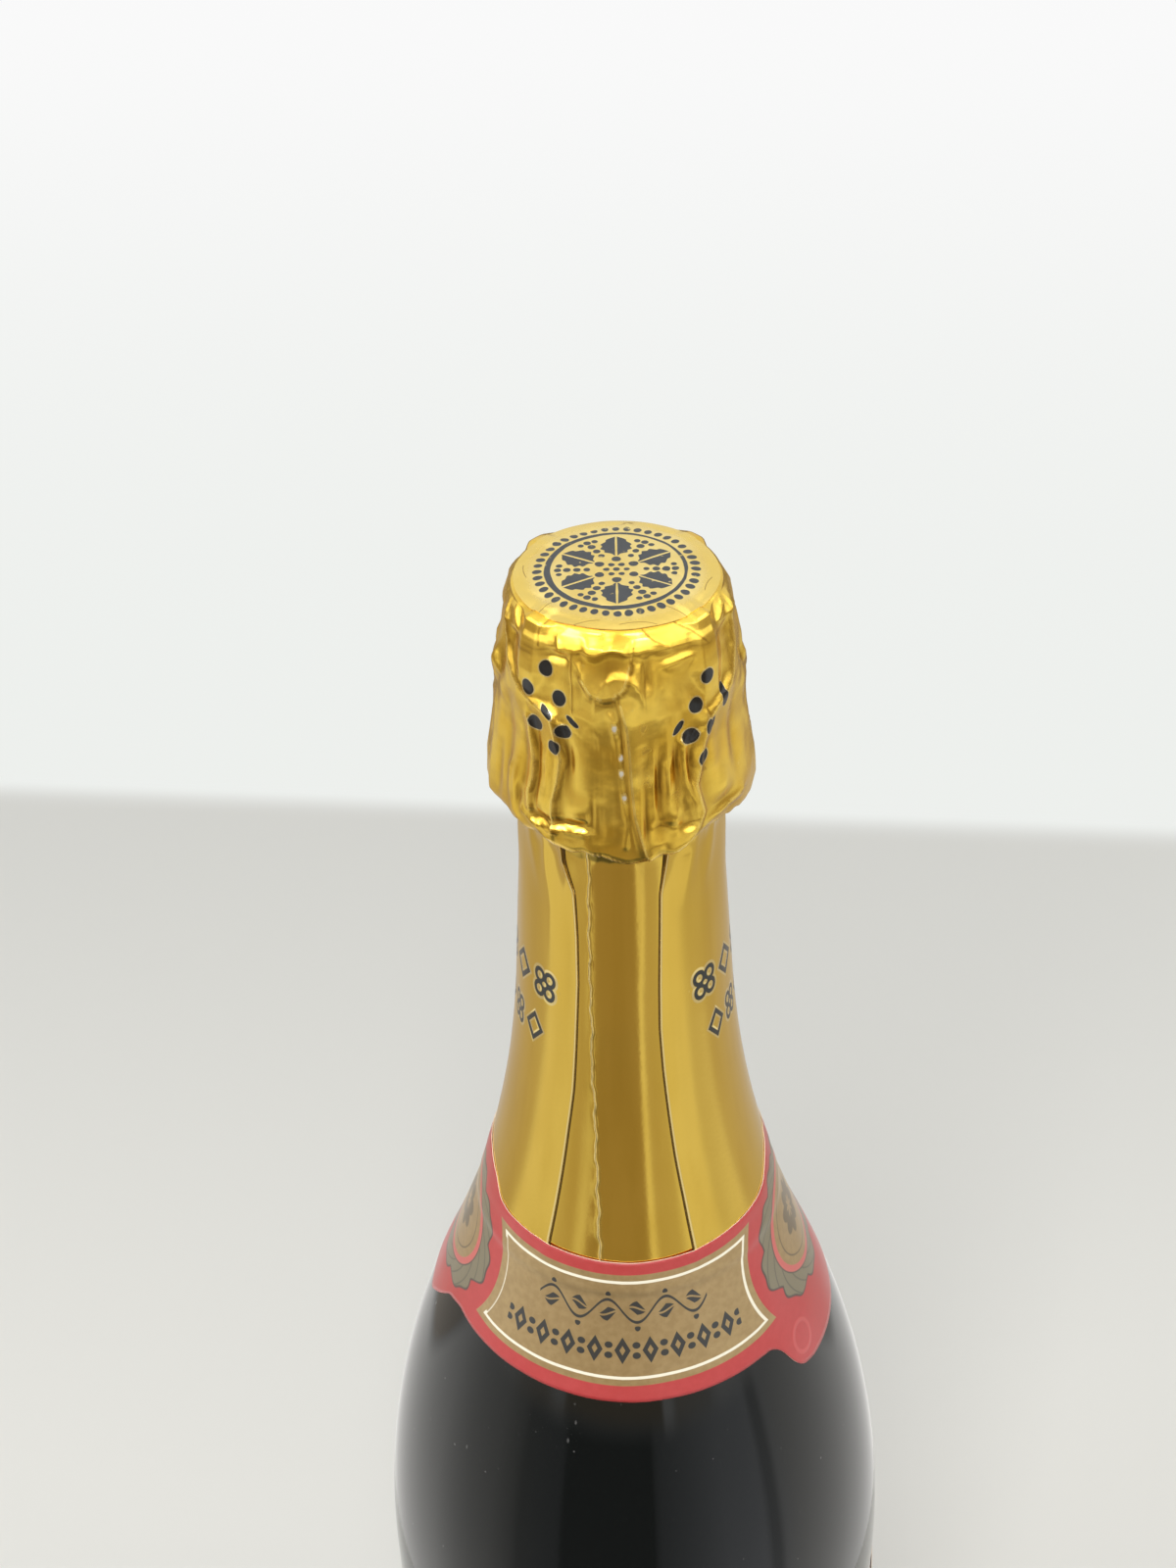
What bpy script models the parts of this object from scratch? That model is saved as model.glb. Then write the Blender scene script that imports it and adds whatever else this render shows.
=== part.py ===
"""A dressed 75 cl champagne bottle: glass, neck foil, labels, cork, wire cage and foil cap.

Units are metres and +Z is up. The origin is the centre of the standing ring. The side with the
foil's seam faces -Y and the front label faces +X. Every piece is its own object, parented to an
empty for the body that it moves with: the bottle, the cork, the wire cage or the foil cap.
"""

from math import atan2, cos, degrees, exp, pi, radians, sin, sqrt

import bpy
from mathutils import Vector

# Glass
BODY_RADIUS = 0.044
BODY_HEIGHT = 0.117
SHOULDER_ARC_RADIUS = 0.185
NECK_ARC_RADIUS = 0.203
NECK_HALF_ANGLE_DEG = 3.44
NECK_CONE_LENGTH = 0.0382
NECK_TOP_RADIUS = 0.0135
HEEL_RADIUS = 0.007
STANDING_RING_WIDTH = 0.0052
PUNT_DEPTH = 0.036
PUNT_CURVE_SHARE = 1.5
WALL = 0.0052
FLOOR_THICKNESS = 0.009
INNER_HEEL_RADIUS = 0.006
BORE_RADIUS = 0.009
INNER_NECK_ARC_RADIUS = 0.185

# Mouth of the glass, from the lip down
LIP_RADIUS = 0.0136
LIP_HEIGHT = 0.0024
LIP_ROUND = 0.0008
BEAD_RADIUS = 0.0144
BEAD_HEIGHT = 0.0086
BEAD_ROUND = 0.0009
UNDERCUT_HEIGHT = 0.0006

# Cork
CORK_HEAD_HEIGHT = 0.01715
CORK_HEAD_RADIUS = 0.0142
CORK_SHANK_RADIUS = 0.00875
CORK_SHANK_LENGTH = 0.0265
CORK_SEAT_GAP = 0.0002
CORK_DISC_THICKNESS = 0.005
CORK_EDGE_ROUND = 0.0006
GLUE_LINE = 0.00006

# Wire cage and its plate
PLATE_RADIUS = 0.0136
PLATE_THICKNESS = 0.00035
PLATE_RIM_DROP = 0.0015
PLATE_FIT_GAP = 0.0002
PLATE_DOME_RADIUS = 0.0094
PLATE_DOME_SLOPE = 0.0008
CAGE_RING_RADIUS = 0.0108
CAGE_WIRE_RADIUS = 0.0004
STRAND_GAP = 0.00016
CAGE_BEND_RADIUS = 0.0012
LEG_TWISTS = 3
LEG_TWIST_START = 0.0018
LEG_BULGE_DROP = 0.0055
LEG_SPREAD_LENGTH = 0.0026
HOOK_REACH = 0.0003
BELT_WIRE_RADIUS = 0.00045
BELT_DROP = 0.0009
WIRE_GAP = 0.00015
EYE_GAP = 0.00008
TAIL_TWISTS = 2
TAIL_TWIST_LENGTH = 0.0115
TAIL_RISE = 0.0024
TAIL_EYE_LENGTH = 0.0095
TAIL_EYE_WIDTH = 0.0056

# Foil and paper
FOIL_THICKNESS = 0.00025
PAPER_THICKNESS = 0.0002
SKIN_GAP = 0.00016
LAP_GAP = 0.00006
FOIL_DISC_RADIUS = 0.0136
FOIL_LAP_WIDTH = 0.0027
SKIRT_CLEARANCE = 0.00015
SKIRT_SHOULDER_EASE = 0.0008
SKIRT_LEG_BULGE = 0.0007
FOLD_DEPTH = 0.0004
RIM_TUCK = 0.0003
RIM_OVERLAP = 0.0004
RIM_FRONT_DROP = 0.0011
RIM_WAVE = 0.00025
FLARE_HEIGHT = 0.006
FLARE_GAP = 0.00035
FOIL_UNDER_LABEL = 0.0052

# Collar label, round the foot of the neck
LABEL_FOOT_RISE = 0.0004
LABEL_HEIGHT = 0.0235
LOBE_RISE = 0.0052
LOBE_DROP = 0.0088
LABEL_STEP_LENGTH = 0.0014
LABEL_SEAM_DEG = 2.0
LABEL_TURN_DEG = -4.0
LOBE_HEAD_FROM_DEG = 58.0
LOBE_HEAD_TO_DEG = 88.0
NEAR_LOBE_FROM_DEG = 50.0
NEAR_LOBE_TO_DEG = 63.0
FAR_LOBE_FROM_DEG = 66.0
FAR_LOBE_TO_DEG = 88.0

# Front label, on the body
FRONT_LABEL_WIDTH = 0.082
FRONT_LABEL_HEIGHT = 0.078
FRONT_LABEL_FOOT = 0.028

# Facets
GLASS_SIDES = 40
CORK_SIDES = 24
SKIRT_SIDES = 60
WIRE_SIDES_LEVEL = 1
HELIX_POINTS = 7

# Tables of shares: along an arc, down the skirt, round the skirt
ARC_SHARES = (0.0, 0.15, 0.32, 0.5, 0.68, 0.85, 1.0)
PUNT_SHARES = (0.0, 0.16, 0.36, 0.58, 0.8, 1.0)
ROUND_SHARES = (0.0, 0.35, 0.7, 1.0)
FLARE_SHARES = (1.0, 0.84, 0.66, 0.44, 0.2)
CORK_SEAT_SHARE = 0.85
# Each cork row is a share down from the plate's rim, then one of the way to the greatest radius.
CORK_HEAD_SHARES = ((0.0, 0.0), (0.12, 0.5), (0.3, 0.9), (0.5, 1.0), (0.78, 0.85), (0.94, 0.3))
# Each skirt row is a share of the skirt's height, then of its shoulder, waist and rim radii.
SKIRT_ROW_SHARES = (
    (0.02, 0.72, 0.0, 0.0),
    (0.055, 1.0, 0.0, 0.0),
    (0.125, 0.9, 0.1, 0.0),
    (0.25, 0.4, 0.6, 0.0),
    (0.38, 0.0, 1.0, 0.0),
    (0.58, 0.0, 0.95, 0.05),
    (0.73, 0.0, 0.45, 0.55),
    (0.86, 0.0, 0.0, 1.0),
    (0.94, 0.0, 0.0, 1.0),
)
# Each fold wave is its count round the skirt, its share of the depth and its turn in degrees.
FOLD_WAVE_SHARES = ((11, 0.34, 20.0), (17, 0.28, 95.0), (7, 0.22, 250.0), (23, 0.16, 140.0))

# Azimuths of the cage's legs and of the belt's tail, from +X
LEG_AZIMUTHS_DEG = (45.0, 135.0, 225.0, 315.0)
TAIL_AZIMUTH_DEG = -90.0
FRONT_AZIMUTH_DEG = 0.0
SEAM_SIDE_AZIMUTH_DEG = -90.0


def shoulder_axis():
    """Centre of the convex shoulder arc, as radius and height."""
    return BODY_RADIUS - SHOULDER_ARC_RADIUS, BODY_HEIGHT


def neck_bend(line_radius, half_angle, arc_radius, shoulder_radius):
    """Centre of the concave arc that meets a neck line of this radius and the shoulder arc."""
    centre_r, centre_z = shoulder_axis()
    bend_r = line_radius + arc_radius * cos(half_angle)
    reach = shoulder_radius + arc_radius
    bend_z = centre_z + sqrt(reach**2 - (bend_r - centre_r) ** 2)
    return bend_r, bend_z


def arc(centre, radius, start, end, shares=ARC_SHARES):
    """Points on an arc in the (radius, height) plane between two angles."""
    angles = [start + (end - start) * share for share in shares]
    return [(centre[0] + radius * cos(a), centre[1] + radius * sin(a)) for a in angles]


def between(value, table):
    """Straight-line value from a table of (place, value) pairs in rising order of place."""
    if value <= table[0][0]:
        return table[0][1]
    for (x0, y0), (x1, y1) in zip(table, table[1:]):
        if value <= x1:
            return y0 + (y1 - y0) * (value - x0) / (x1 - x0)
    return table[-1][1]


def smooth_step(value, start, end):
    """Rise from 0 to 1 between start and end with level ends."""
    share = min(1.0, max(0.0, (value - start) / (end - start)))
    return share * share * (3.0 - 2.0 * share)


def mix(a, b, share):
    """Value at a share of the way from a to b."""
    return a + (b - a) * share


def neck_and_shoulder():
    """Outer outline from the top of the neck cone down to the top of the heel."""
    half_angle = radians(NECK_HALF_ANGLE_DEG)
    foot_radius = NECK_TOP_RADIUS + NECK_CONE_LENGTH * sin(half_angle)
    bend = neck_bend(foot_radius, half_angle, NECK_ARC_RADIUS, SHOULDER_ARC_RADIUS)
    centre = shoulder_axis()
    foot_z = bend[1] - NECK_ARC_RADIUS * sin(half_angle)
    turn = atan2(bend[1] - centre[1], bend[0] - centre[0])
    cone_top = (NECK_TOP_RADIUS, foot_z + NECK_CONE_LENGTH * cos(half_angle))
    concave = arc(bend, NECK_ARC_RADIUS, pi + half_angle, pi + turn)
    convex = arc(centre, SHOULDER_ARC_RADIUS, turn, 0.0)
    return [cone_top] + concave + convex[1:]


NECK_OUTLINE = neck_and_shoulder()
NECK_TOP_Z = NECK_OUTLINE[0][1]
TURNING_POINT_Z = NECK_OUTLINE[len(ARC_SHARES)][1]
BEAD_FOOT_Z = NECK_TOP_Z + UNDERCUT_HEIGHT
LIP_Z = BEAD_FOOT_Z + BEAD_HEIGHT + LIP_HEIGHT
HEAD_TOP_Z = LIP_Z + CORK_HEAD_HEIGHT
PLATE_GROOVE_Z = HEAD_TOP_Z + WIRE_GAP + PLATE_THICKNESS
PLATE_RIM_Z = PLATE_GROOVE_Z - PLATE_RIM_DROP
CAGE_RING_Z = PLATE_GROOVE_Z + WIRE_GAP + CAGE_WIRE_RADIUS
SKIRT_TOP_Z = CAGE_RING_Z + CAGE_WIRE_RADIUS + WIRE_GAP + FOIL_THICKNESS
DISC_FOOT_Z = SKIRT_TOP_Z + LAP_GAP
BELT_Z = BEAD_FOOT_Z - BELT_DROP
TWIST_TOP_Z = CAGE_RING_Z - LEG_TWIST_START - CAGE_WIRE_RADIUS

# Two strands twisted together, and the eye that they form round the belt wire
STRAND_OFFSET = CAGE_WIRE_RADIUS + STRAND_GAP / 2
PAIR_RADIUS = STRAND_OFFSET + CAGE_WIRE_RADIUS
EYE_HALF = CAGE_WIRE_RADIUS + EYE_GAP + BELT_WIRE_RADIUS
TAIL_OFFSET = BELT_WIRE_RADIUS + STRAND_GAP / 2
CORK_TOP_RADIUS = PLATE_RADIUS - PLATE_THICKNESS - PLATE_FIT_GAP
CAGED_RADIUS = max(BEAD_RADIUS, CORK_HEAD_RADIUS)
BELT_RADIUS = CAGED_RADIUS + WIRE_GAP + CAGE_WIRE_RADIUS + EYE_HALF
LEG_SIDE_RADIUS = PLATE_RADIUS + WIRE_GAP + CAGE_WIRE_RADIUS
TAIL_RADIUS = CAGED_RADIUS + WIRE_GAP + TAIL_OFFSET + BELT_WIRE_RADIUS
EYE_OUTER_RADIUS = BELT_RADIUS + EYE_HALF + CAGE_WIRE_RADIUS
EYE_FOOT_Z = BELT_Z - EYE_HALF - CAGE_WIRE_RADIUS
FLARE_TOP_Z = EYE_FOOT_Z - FLARE_GAP

# Radii of the skirt's outside where its folds stand out furthest
FOLD_ROOM = SKIRT_CLEARANCE + FOIL_THICKNESS + FOLD_DEPTH
SKIRT_SHOULDER_RADIUS = LEG_SIDE_RADIUS + CAGE_WIRE_RADIUS + SKIRT_SHOULDER_EASE
SKIRT_WAIST_RADIUS = CAGED_RADIUS + WIRE_GAP + PAIR_RADIUS * 2 + FOLD_ROOM
SKIRT_RIM_RADIUS = EYE_OUTER_RADIUS + FOLD_ROOM
FLARE_RADIUS = EYE_OUTER_RADIUS - LAP_GAP
SKIRT_HEIGHT = SKIRT_TOP_Z - FLARE_TOP_Z + RIM_OVERLAP

# Foil and collar label on the neck
LABEL_FOOT_Z = TURNING_POINT_Z + LABEL_FOOT_RISE
LABEL_HEAD_Z = LABEL_FOOT_Z + LABEL_HEIGHT
FOIL_FOOT_Z = LABEL_HEAD_Z - FOIL_UNDER_LABEL


def glass_radius(z):
    """Outer radius of the faceted glass at a height on the neck, shoulder or body."""
    return between(z, [(point_z, r) for r, point_z in reversed(NECK_OUTLINE)])


def make_material(name, color, roughness, metallic=0.0, alpha=1.0):
    """A plain Principled material."""
    material = bpy.data.materials.new(name)
    material.use_nodes = True
    shader = material.node_tree.nodes["Principled BSDF"]
    shader.inputs["Base Color"].default_value = (*color, 1.0)
    shader.inputs["Roughness"].default_value = roughness
    shader.inputs["Metallic"].default_value = metallic
    shader.inputs["Alpha"].default_value = alpha
    return material


def add_object(name, data, body, material):
    """Link new object data under its body's empty."""
    obj = bpy.data.objects.new(name, data)
    BOTTLE.objects.link(obj)
    obj.parent = body
    data.materials.append(material)
    return obj


def turned(name, outline, body, material, sides, sweep_deg=360.0, start_deg=0.0, thickness=0.0):
    """Turn an outline of (radius, height) points about Z, and give an open one a thickness.

    A positive thickness grows outwards from the surface and a negative one inwards.
    """
    start = radians(start_deg)
    mesh = bpy.data.meshes.new(name)
    points = [(r * cos(start), r * sin(start), z) for r, z in outline]
    mesh.from_pydata(points, [(i, i + 1) for i in range(len(points) - 1)], [])
    obj = add_object(name, mesh, body, material)
    screw = obj.modifiers.new("Turn", "SCREW")
    screw.angle = radians(sweep_deg)
    screw.steps = screw.render_steps = sides
    screw.use_merge_vertices = sweep_deg == 360.0
    screw.merge_threshold = 0.00001
    screw.use_smooth_shade = True
    if thickness:
        solidify = obj.modifiers.new("Sheet", "SOLIDIFY")
        solidify.thickness = abs(thickness)
        solidify.offset = 1.0 if thickness > 0.0 else -1.0
        solidify.use_even_offset = True
    return obj


def reshape_turned(obj, place):
    """Bake the turning of an object and move each point by place(azimuth, height, radius)."""
    sheet = obj.modifiers["Sheet"]
    sheet.show_viewport = False
    depsgraph = bpy.context.evaluated_depsgraph_get()
    mesh = bpy.data.meshes.new_from_object(obj.evaluated_get(depsgraph))
    sheet.show_viewport = True
    obj.modifiers.remove(obj.modifiers["Turn"])
    for vertex in mesh.vertices:
        x, y, z = vertex.co
        azimuth = atan2(y, x)
        r, z = place(azimuth, z, sqrt(x * x + y * y))
        vertex.co = (r * cos(azimuth), r * sin(azimuth), z)
    obj.data = mesh
    mesh.shade_smooth()


def angle_from(azimuth, centre_deg):
    """Signed angle in degrees of an azimuth in radians from a centre in degrees."""
    return (degrees(azimuth) - centre_deg + 180.0) % 360.0 - 180.0


def wire(name, points, radius, body, material, closed=False):
    """A round wire along a run of points."""
    curve = bpy.data.curves.new(name, "CURVE")
    curve.dimensions = "3D"
    curve.bevel_depth = radius
    curve.bevel_resolution = WIRE_SIDES_LEVEL
    curve.use_fill_caps = not closed
    spline = curve.splines.new("POLY")
    spline.points.add(len(points) - 1)
    for target, point in zip(spline.points, points):
        target.co = (*point, 1.0)
    spline.use_cyclic_u = closed
    return add_object(name, curve, body, material)


def with_round_corners(points, radius, least_turn_deg=35.0):
    """Replace each sharp corner of a run of points by a short curve."""
    rounded = [points[0]]
    for before, corner, after in zip(points, points[1:], points[2:]):
        to_before = before - corner
        to_after = after - corner
        turn = degrees(pi - to_before.angle(to_after))
        if turn < least_turn_deg:
            rounded.append(corner)
            continue
        start = corner + to_before.normalized() * min(radius, to_before.length * 0.45)
        end = corner + to_after.normalized() * min(radius, to_after.length * 0.45)
        for share in (0.0, 0.5, 1.0):
            rounded.append(start.lerp(corner, share).lerp(corner.lerp(end, share), share))
    return rounded + [points[-1]]


def at(azimuth_deg, r, z, across=0.0):
    """Point at a radius and height on a line of azimuth, moved sideways across that line."""
    a = radians(azimuth_deg)
    return Vector((r * cos(a) - across * sin(a), r * sin(a) + across * cos(a), z))


def glass_outline():
    """Closed outline of the glass, from the floor's middle, up inside, over the lip and down."""
    inner_r = BODY_RADIUS - WALL
    floor_r = inner_r - INNER_HEEL_RADIUS
    floor = [
        (floor_r * share, FLOOR_THICKNESS + PUNT_DEPTH * (1.0 - share**PUNT_CURVE_SHARE))
        for share in PUNT_SHARES
    ]
    heel_centre = (floor_r, FLOOR_THICKNESS + INNER_HEEL_RADIUS)
    inner_heel = arc(heel_centre, INNER_HEEL_RADIUS, -pi / 2, 0.0, ROUND_SHARES)
    inner_shoulder = SHOULDER_ARC_RADIUS - WALL
    bend = neck_bend(BORE_RADIUS, 0.0, INNER_NECK_ARC_RADIUS, inner_shoulder)
    centre = shoulder_axis()
    turn = atan2(bend[1] - centre[1], bend[0] - centre[0])
    inside = arc(centre, inner_shoulder, 0.0, turn)
    inside += arc(bend, INNER_NECK_ARC_RADIUS, pi + turn, pi)[1:]
    lip_in = (BORE_RADIUS + LIP_ROUND, LIP_Z - LIP_ROUND)
    lip_out = (LIP_RADIUS - LIP_ROUND, LIP_Z - LIP_ROUND)
    lip = arc(lip_in, LIP_ROUND, pi, pi / 2, ROUND_SHARES[::3] + (0.5,))[:1]
    lip += arc(lip_in, LIP_ROUND, 3 * pi / 4, pi / 2, (0.0, 1.0))
    lip += arc(lip_out, LIP_ROUND, pi / 2, 0.0, (0.0, 0.5, 1.0))
    bead_top = (BEAD_RADIUS - BEAD_ROUND, BEAD_FOOT_Z + BEAD_HEIGHT - BEAD_ROUND)
    bead_low = (BEAD_RADIUS - BEAD_ROUND, BEAD_FOOT_Z + BEAD_ROUND)
    bead = [(LIP_RADIUS, BEAD_FOOT_Z + BEAD_HEIGHT)]
    bead += arc(bead_top, BEAD_ROUND, pi / 4, 0.0, (0.0, 1.0))
    bead += arc(bead_low, BEAD_ROUND, 0.0, -pi / 2, (0.0, 0.5, 1.0))
    heel = arc((BODY_RADIUS - HEEL_RADIUS, HEEL_RADIUS), HEEL_RADIUS, 0.0, -pi / 2, ROUND_SHARES)
    ring_r = BODY_RADIUS - HEEL_RADIUS - STANDING_RING_WIDTH
    punt = [
        (ring_r * share, PUNT_DEPTH * (1.0 - share**PUNT_CURVE_SHARE))
        for share in reversed(PUNT_SHARES)
    ]
    return floor + inner_heel[1:] + inside + lip + bead + NECK_OUTLINE + heel + punt


def neck_foil_outline():
    """Outside of the neck foil, from its flared top down to its foot under the label."""
    skin = SKIN_GAP + FOIL_THICKNESS
    flare_foot_z = FLARE_TOP_Z - FLARE_HEIGHT
    foot_r = glass_radius(flare_foot_z) + skin
    flare = [
        (mix(foot_r, FLARE_RADIUS, share**2), flare_foot_z + FLARE_HEIGHT * share)
        for share in FLARE_SHARES
    ]
    heights = [z for _, z in NECK_OUTLINE if FOIL_FOOT_Z < z < flare_foot_z]
    rows = [flare_foot_z] + heights + [FOIL_FOOT_Z]
    return flare + [(glass_radius(z) + skin, z) for z in rows]


def label_edges(azimuth):
    """Heights of the collar label's foot and head at an azimuth."""
    turn = angle_from(azimuth, SEAM_SIDE_AZIMUTH_DEG + LABEL_TURN_DEG)
    side = abs(turn) if abs(turn) <= 90.0 else 180.0 - abs(turn)
    near = turn > 0.0
    drop_from = NEAR_LOBE_FROM_DEG if near else FAR_LOBE_FROM_DEG
    drop_to = NEAR_LOBE_TO_DEG if near else FAR_LOBE_TO_DEG
    foot = LABEL_FOOT_Z - LOBE_DROP * smooth_step(side, drop_from, drop_to)
    head = LABEL_HEAD_Z + LOBE_RISE * smooth_step(side, LOBE_HEAD_FROM_DEG, LOBE_HEAD_TO_DEG)
    return foot, head


def label_rows():
    """Names of the collar label's rows as (kind, share) pairs, from head to foot."""
    return (("head", 1.0), ("head", 0.5), ("head", 0.0), ("foot", 1.0), ("foot", 0.66), ("foot", 0.33), ("foot", 0.0))


def collar_label(body, material):
    """Paper band round the foot of the neck, over the foil's edge, its ends nearly meeting behind."""
    step_top = FOIL_FOOT_Z - LAP_GAP
    step_foot = step_top - LABEL_STEP_LENGTH
    rows = label_rows()
    flat = [(BODY_RADIUS, LABEL_HEAD_Z - LABEL_HEIGHT * i / (len(rows) - 1)) for i in range(len(rows))]
    obj = turned(
        "collar_label",
        flat,
        body,
        material,
        GLASS_SIDES,
        360.0 - LABEL_SEAM_DEG,
        SEAM_SIDE_AZIMUTH_DEG + 180.0 + LABEL_SEAM_DEG / 2,
        PAPER_THICKNESS,
    )

    def place(azimuth, z, _radius):
        kind, share = rows[round((LABEL_HEAD_Z - z) / LABEL_HEIGHT * (len(rows) - 1))]
        foot, head = label_edges(azimuth)
        new_z = mix(step_top, head, share) if kind == "head" else mix(foot, step_foot, share)
        over_foil = SKIN_GAP + FOIL_THICKNESS if kind == "head" else 0.0
        return glass_radius(new_z) + SKIN_GAP + over_foil, new_z

    reshape_turned(obj, place)
    return obj


def leg_nearness(azimuth):
    """How near an azimuth is to a leg of the cage or to the belt's tail, from 0 to 1."""
    stiff = LEG_AZIMUTHS_DEG + (TAIL_AZIMUTH_DEG,)
    return max(exp(-((angle_from(azimuth, leg) / 10.0) ** 2)) for leg in stiff)


def fold_share(azimuth, down):
    """Depth of the skirt's folds as a share of the greatest, at a share of the way down."""
    waves = sum(
        share * (0.5 - 0.5 * cos(count * azimuth + radians(turn) * (1.0 + down)))
        for count, share, turn in FOLD_WAVE_SHARES
    )
    return waves * smooth_step(down, 0.03, 0.15)


def rim_drop(azimuth):
    """How far the skirt's wavy lower edge hangs below the skirt's plain height."""
    front = angle_from(azimuth, SEAM_SIDE_AZIMUTH_DEG)
    waves = cos(radians(5.0 * front + 40.0)) + cos(radians(9.0 * front + 200.0))
    return RIM_FRONT_DROP * (1.0 + cos(radians(front))) + RIM_WAVE * (1.0 + waves / 2)


def foil_cap(body, material):
    """Crumpled foil skirt over the cork and cage, its top turned in under the printed disc."""
    radii = (SKIRT_SHOULDER_RADIUS, SKIRT_WAIST_RADIUS, SKIRT_RIM_RADIUS)
    flat_r = FOIL_DISC_RADIUS
    outline = [(flat_r - FOIL_LAP_WIDTH, SKIRT_TOP_Z), (flat_r, SKIRT_TOP_Z)]
    for down, shoulder, waist, rim in SKIRT_ROW_SHARES:
        r = shoulder * radii[0] + waist * radii[1] + rim * radii[2]
        if shoulder + waist + rim < 1.0:
            r += (1.0 - shoulder - waist - rim) * flat_r
        outline.append((r, SKIRT_TOP_Z - SKIRT_HEIGHT * down))
    outline.append((SKIRT_RIM_RADIUS - RIM_TUCK, SKIRT_TOP_Z - SKIRT_HEIGHT))
    obj = turned("cap_foil", outline, body, material, SKIRT_SIDES, thickness=-FOIL_THICKNESS)

    def place(azimuth, z, r):
        down = (SKIRT_TOP_Z - z) / SKIRT_HEIGHT
        near = leg_nearness(azimuth)
        bulge = SKIRT_LEG_BULGE * near * smooth_step(down, 0.03, 0.1) * (1.0 - smooth_step(down, 0.2, 0.4))
        fold = FOLD_DEPTH * fold_share(azimuth, down)
        return r + bulge - fold, z - rim_drop(azimuth) * smooth_step(down, 0.8, 1.0)

    reshape_turned(obj, place)
    return obj


def leg_radius(z):
    """Radius of a leg's middle line, kept clear of the plate, the cork and the bead."""
    top = TWIST_TOP_Z
    bulge = CAGED_RADIUS + WIRE_GAP + PAIR_RADIUS
    table = (
        (BELT_Z, BELT_RADIUS),
        (BELT_Z + LEG_SPREAD_LENGTH * 2, bulge),
        (top - LEG_BULGE_DROP, bulge),
        (top, PLATE_RADIUS + WIRE_GAP + PAIR_RADIUS),
    )
    return between(z, table)


def cage_strand(leg_deg, side):
    """Run of one strand of a leg, from the top ring to its hook under the belt wire."""
    offset = STRAND_OFFSET * side
    points = [
        at(leg_deg, CAGE_RING_RADIUS, CAGE_RING_Z, offset),
        at(leg_deg, LEG_SIDE_RADIUS, CAGE_RING_Z, offset),
    ]
    twist_foot = BELT_Z + LEG_SPREAD_LENGTH
    turns = LEG_TWISTS + 0.75
    count = round(turns * HELIX_POINTS)
    for i in range(count + 1):
        z = mix(TWIST_TOP_Z, twist_foot, i / count)
        angle = 2 * pi * turns * i / count
        points.append(at(leg_deg, leg_radius(z) + offset * sin(angle), z, offset * cos(angle)))
    aside = STRAND_OFFSET * side
    points += [
        at(leg_deg, BELT_RADIUS - EYE_HALF * side, BELT_Z + BELT_WIRE_RADIUS),
        at(leg_deg, BELT_RADIUS - EYE_HALF * side, BELT_Z - EYE_HALF / 2, aside / 2),
        at(leg_deg, BELT_RADIUS - EYE_HALF * side / 2, BELT_Z - EYE_HALF, aside),
        at(leg_deg, BELT_RADIUS + HOOK_REACH * side, BELT_Z - EYE_HALF, aside),
    ]
    return points


def cage_wire(name, first_deg, body, material):
    """One of the four cage wires: down a leg on each side of its quarter of the top ring."""
    steps = 8
    edge = degrees(atan2(STRAND_OFFSET, CAGE_RING_RADIUS))
    quarter = [
        at(mix(first_deg + edge, first_deg + 90.0 - edge, i / steps), CAGE_RING_RADIUS, CAGE_RING_Z)
        for i in range(1, steps)
    ]
    run = cage_strand(first_deg, 1.0)[::-1] + quarter + cage_strand(first_deg + 90.0, -1.0)
    return wire(name, with_round_corners(run, CAGE_BEND_RADIUS), CAGE_WIRE_RADIUS, body, material)


def belt_wire(body, material):
    """The wire round the neck below the bead, with its twisted tail and eye folded up."""
    tail_foot = BELT_Z + TAIL_RISE
    tail_top = tail_foot + TAIL_TWIST_LENGTH
    count = TAIL_TWISTS * HELIX_POINTS

    def strand(side):
        run = []
        for i in range(count + 1):
            angle = 2 * pi * TAIL_TWISTS * i / count
            across = TAIL_OFFSET * side * cos(angle)
            r = TAIL_RADIUS + TAIL_OFFSET * side * sin(angle)
            run.append(at(TAIL_AZIMUTH_DEG, r, mix(tail_top, tail_foot, i / count), across))
        return run

    eye_mid = tail_top + TAIL_EYE_LENGTH / 2
    eye = []
    for i in range(1, 12):
        angle = -pi / 2 - 2 * pi * i / 12
        across = TAIL_EYE_WIDTH / 2 * cos(angle)
        eye.append(at(TAIL_AZIMUTH_DEG, TAIL_RADIUS, eye_mid + TAIL_EYE_LENGTH / 2 * sin(angle), across))
    half_gap = degrees((TAIL_OFFSET + BELT_WIRE_RADIUS * 2) / BELT_RADIUS)
    ring = [
        at(TAIL_AZIMUTH_DEG + mix(half_gap, 360.0 - half_gap, i / GLASS_SIDES), BELT_RADIUS, BELT_Z)
        for i in range(GLASS_SIDES + 1)
    ]
    run = strand(1.0) + ring + strand(-1.0)[::-1] + eye
    return wire("belt_wire", run, BELT_WIRE_RADIUS, body, material, closed=True)


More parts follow.
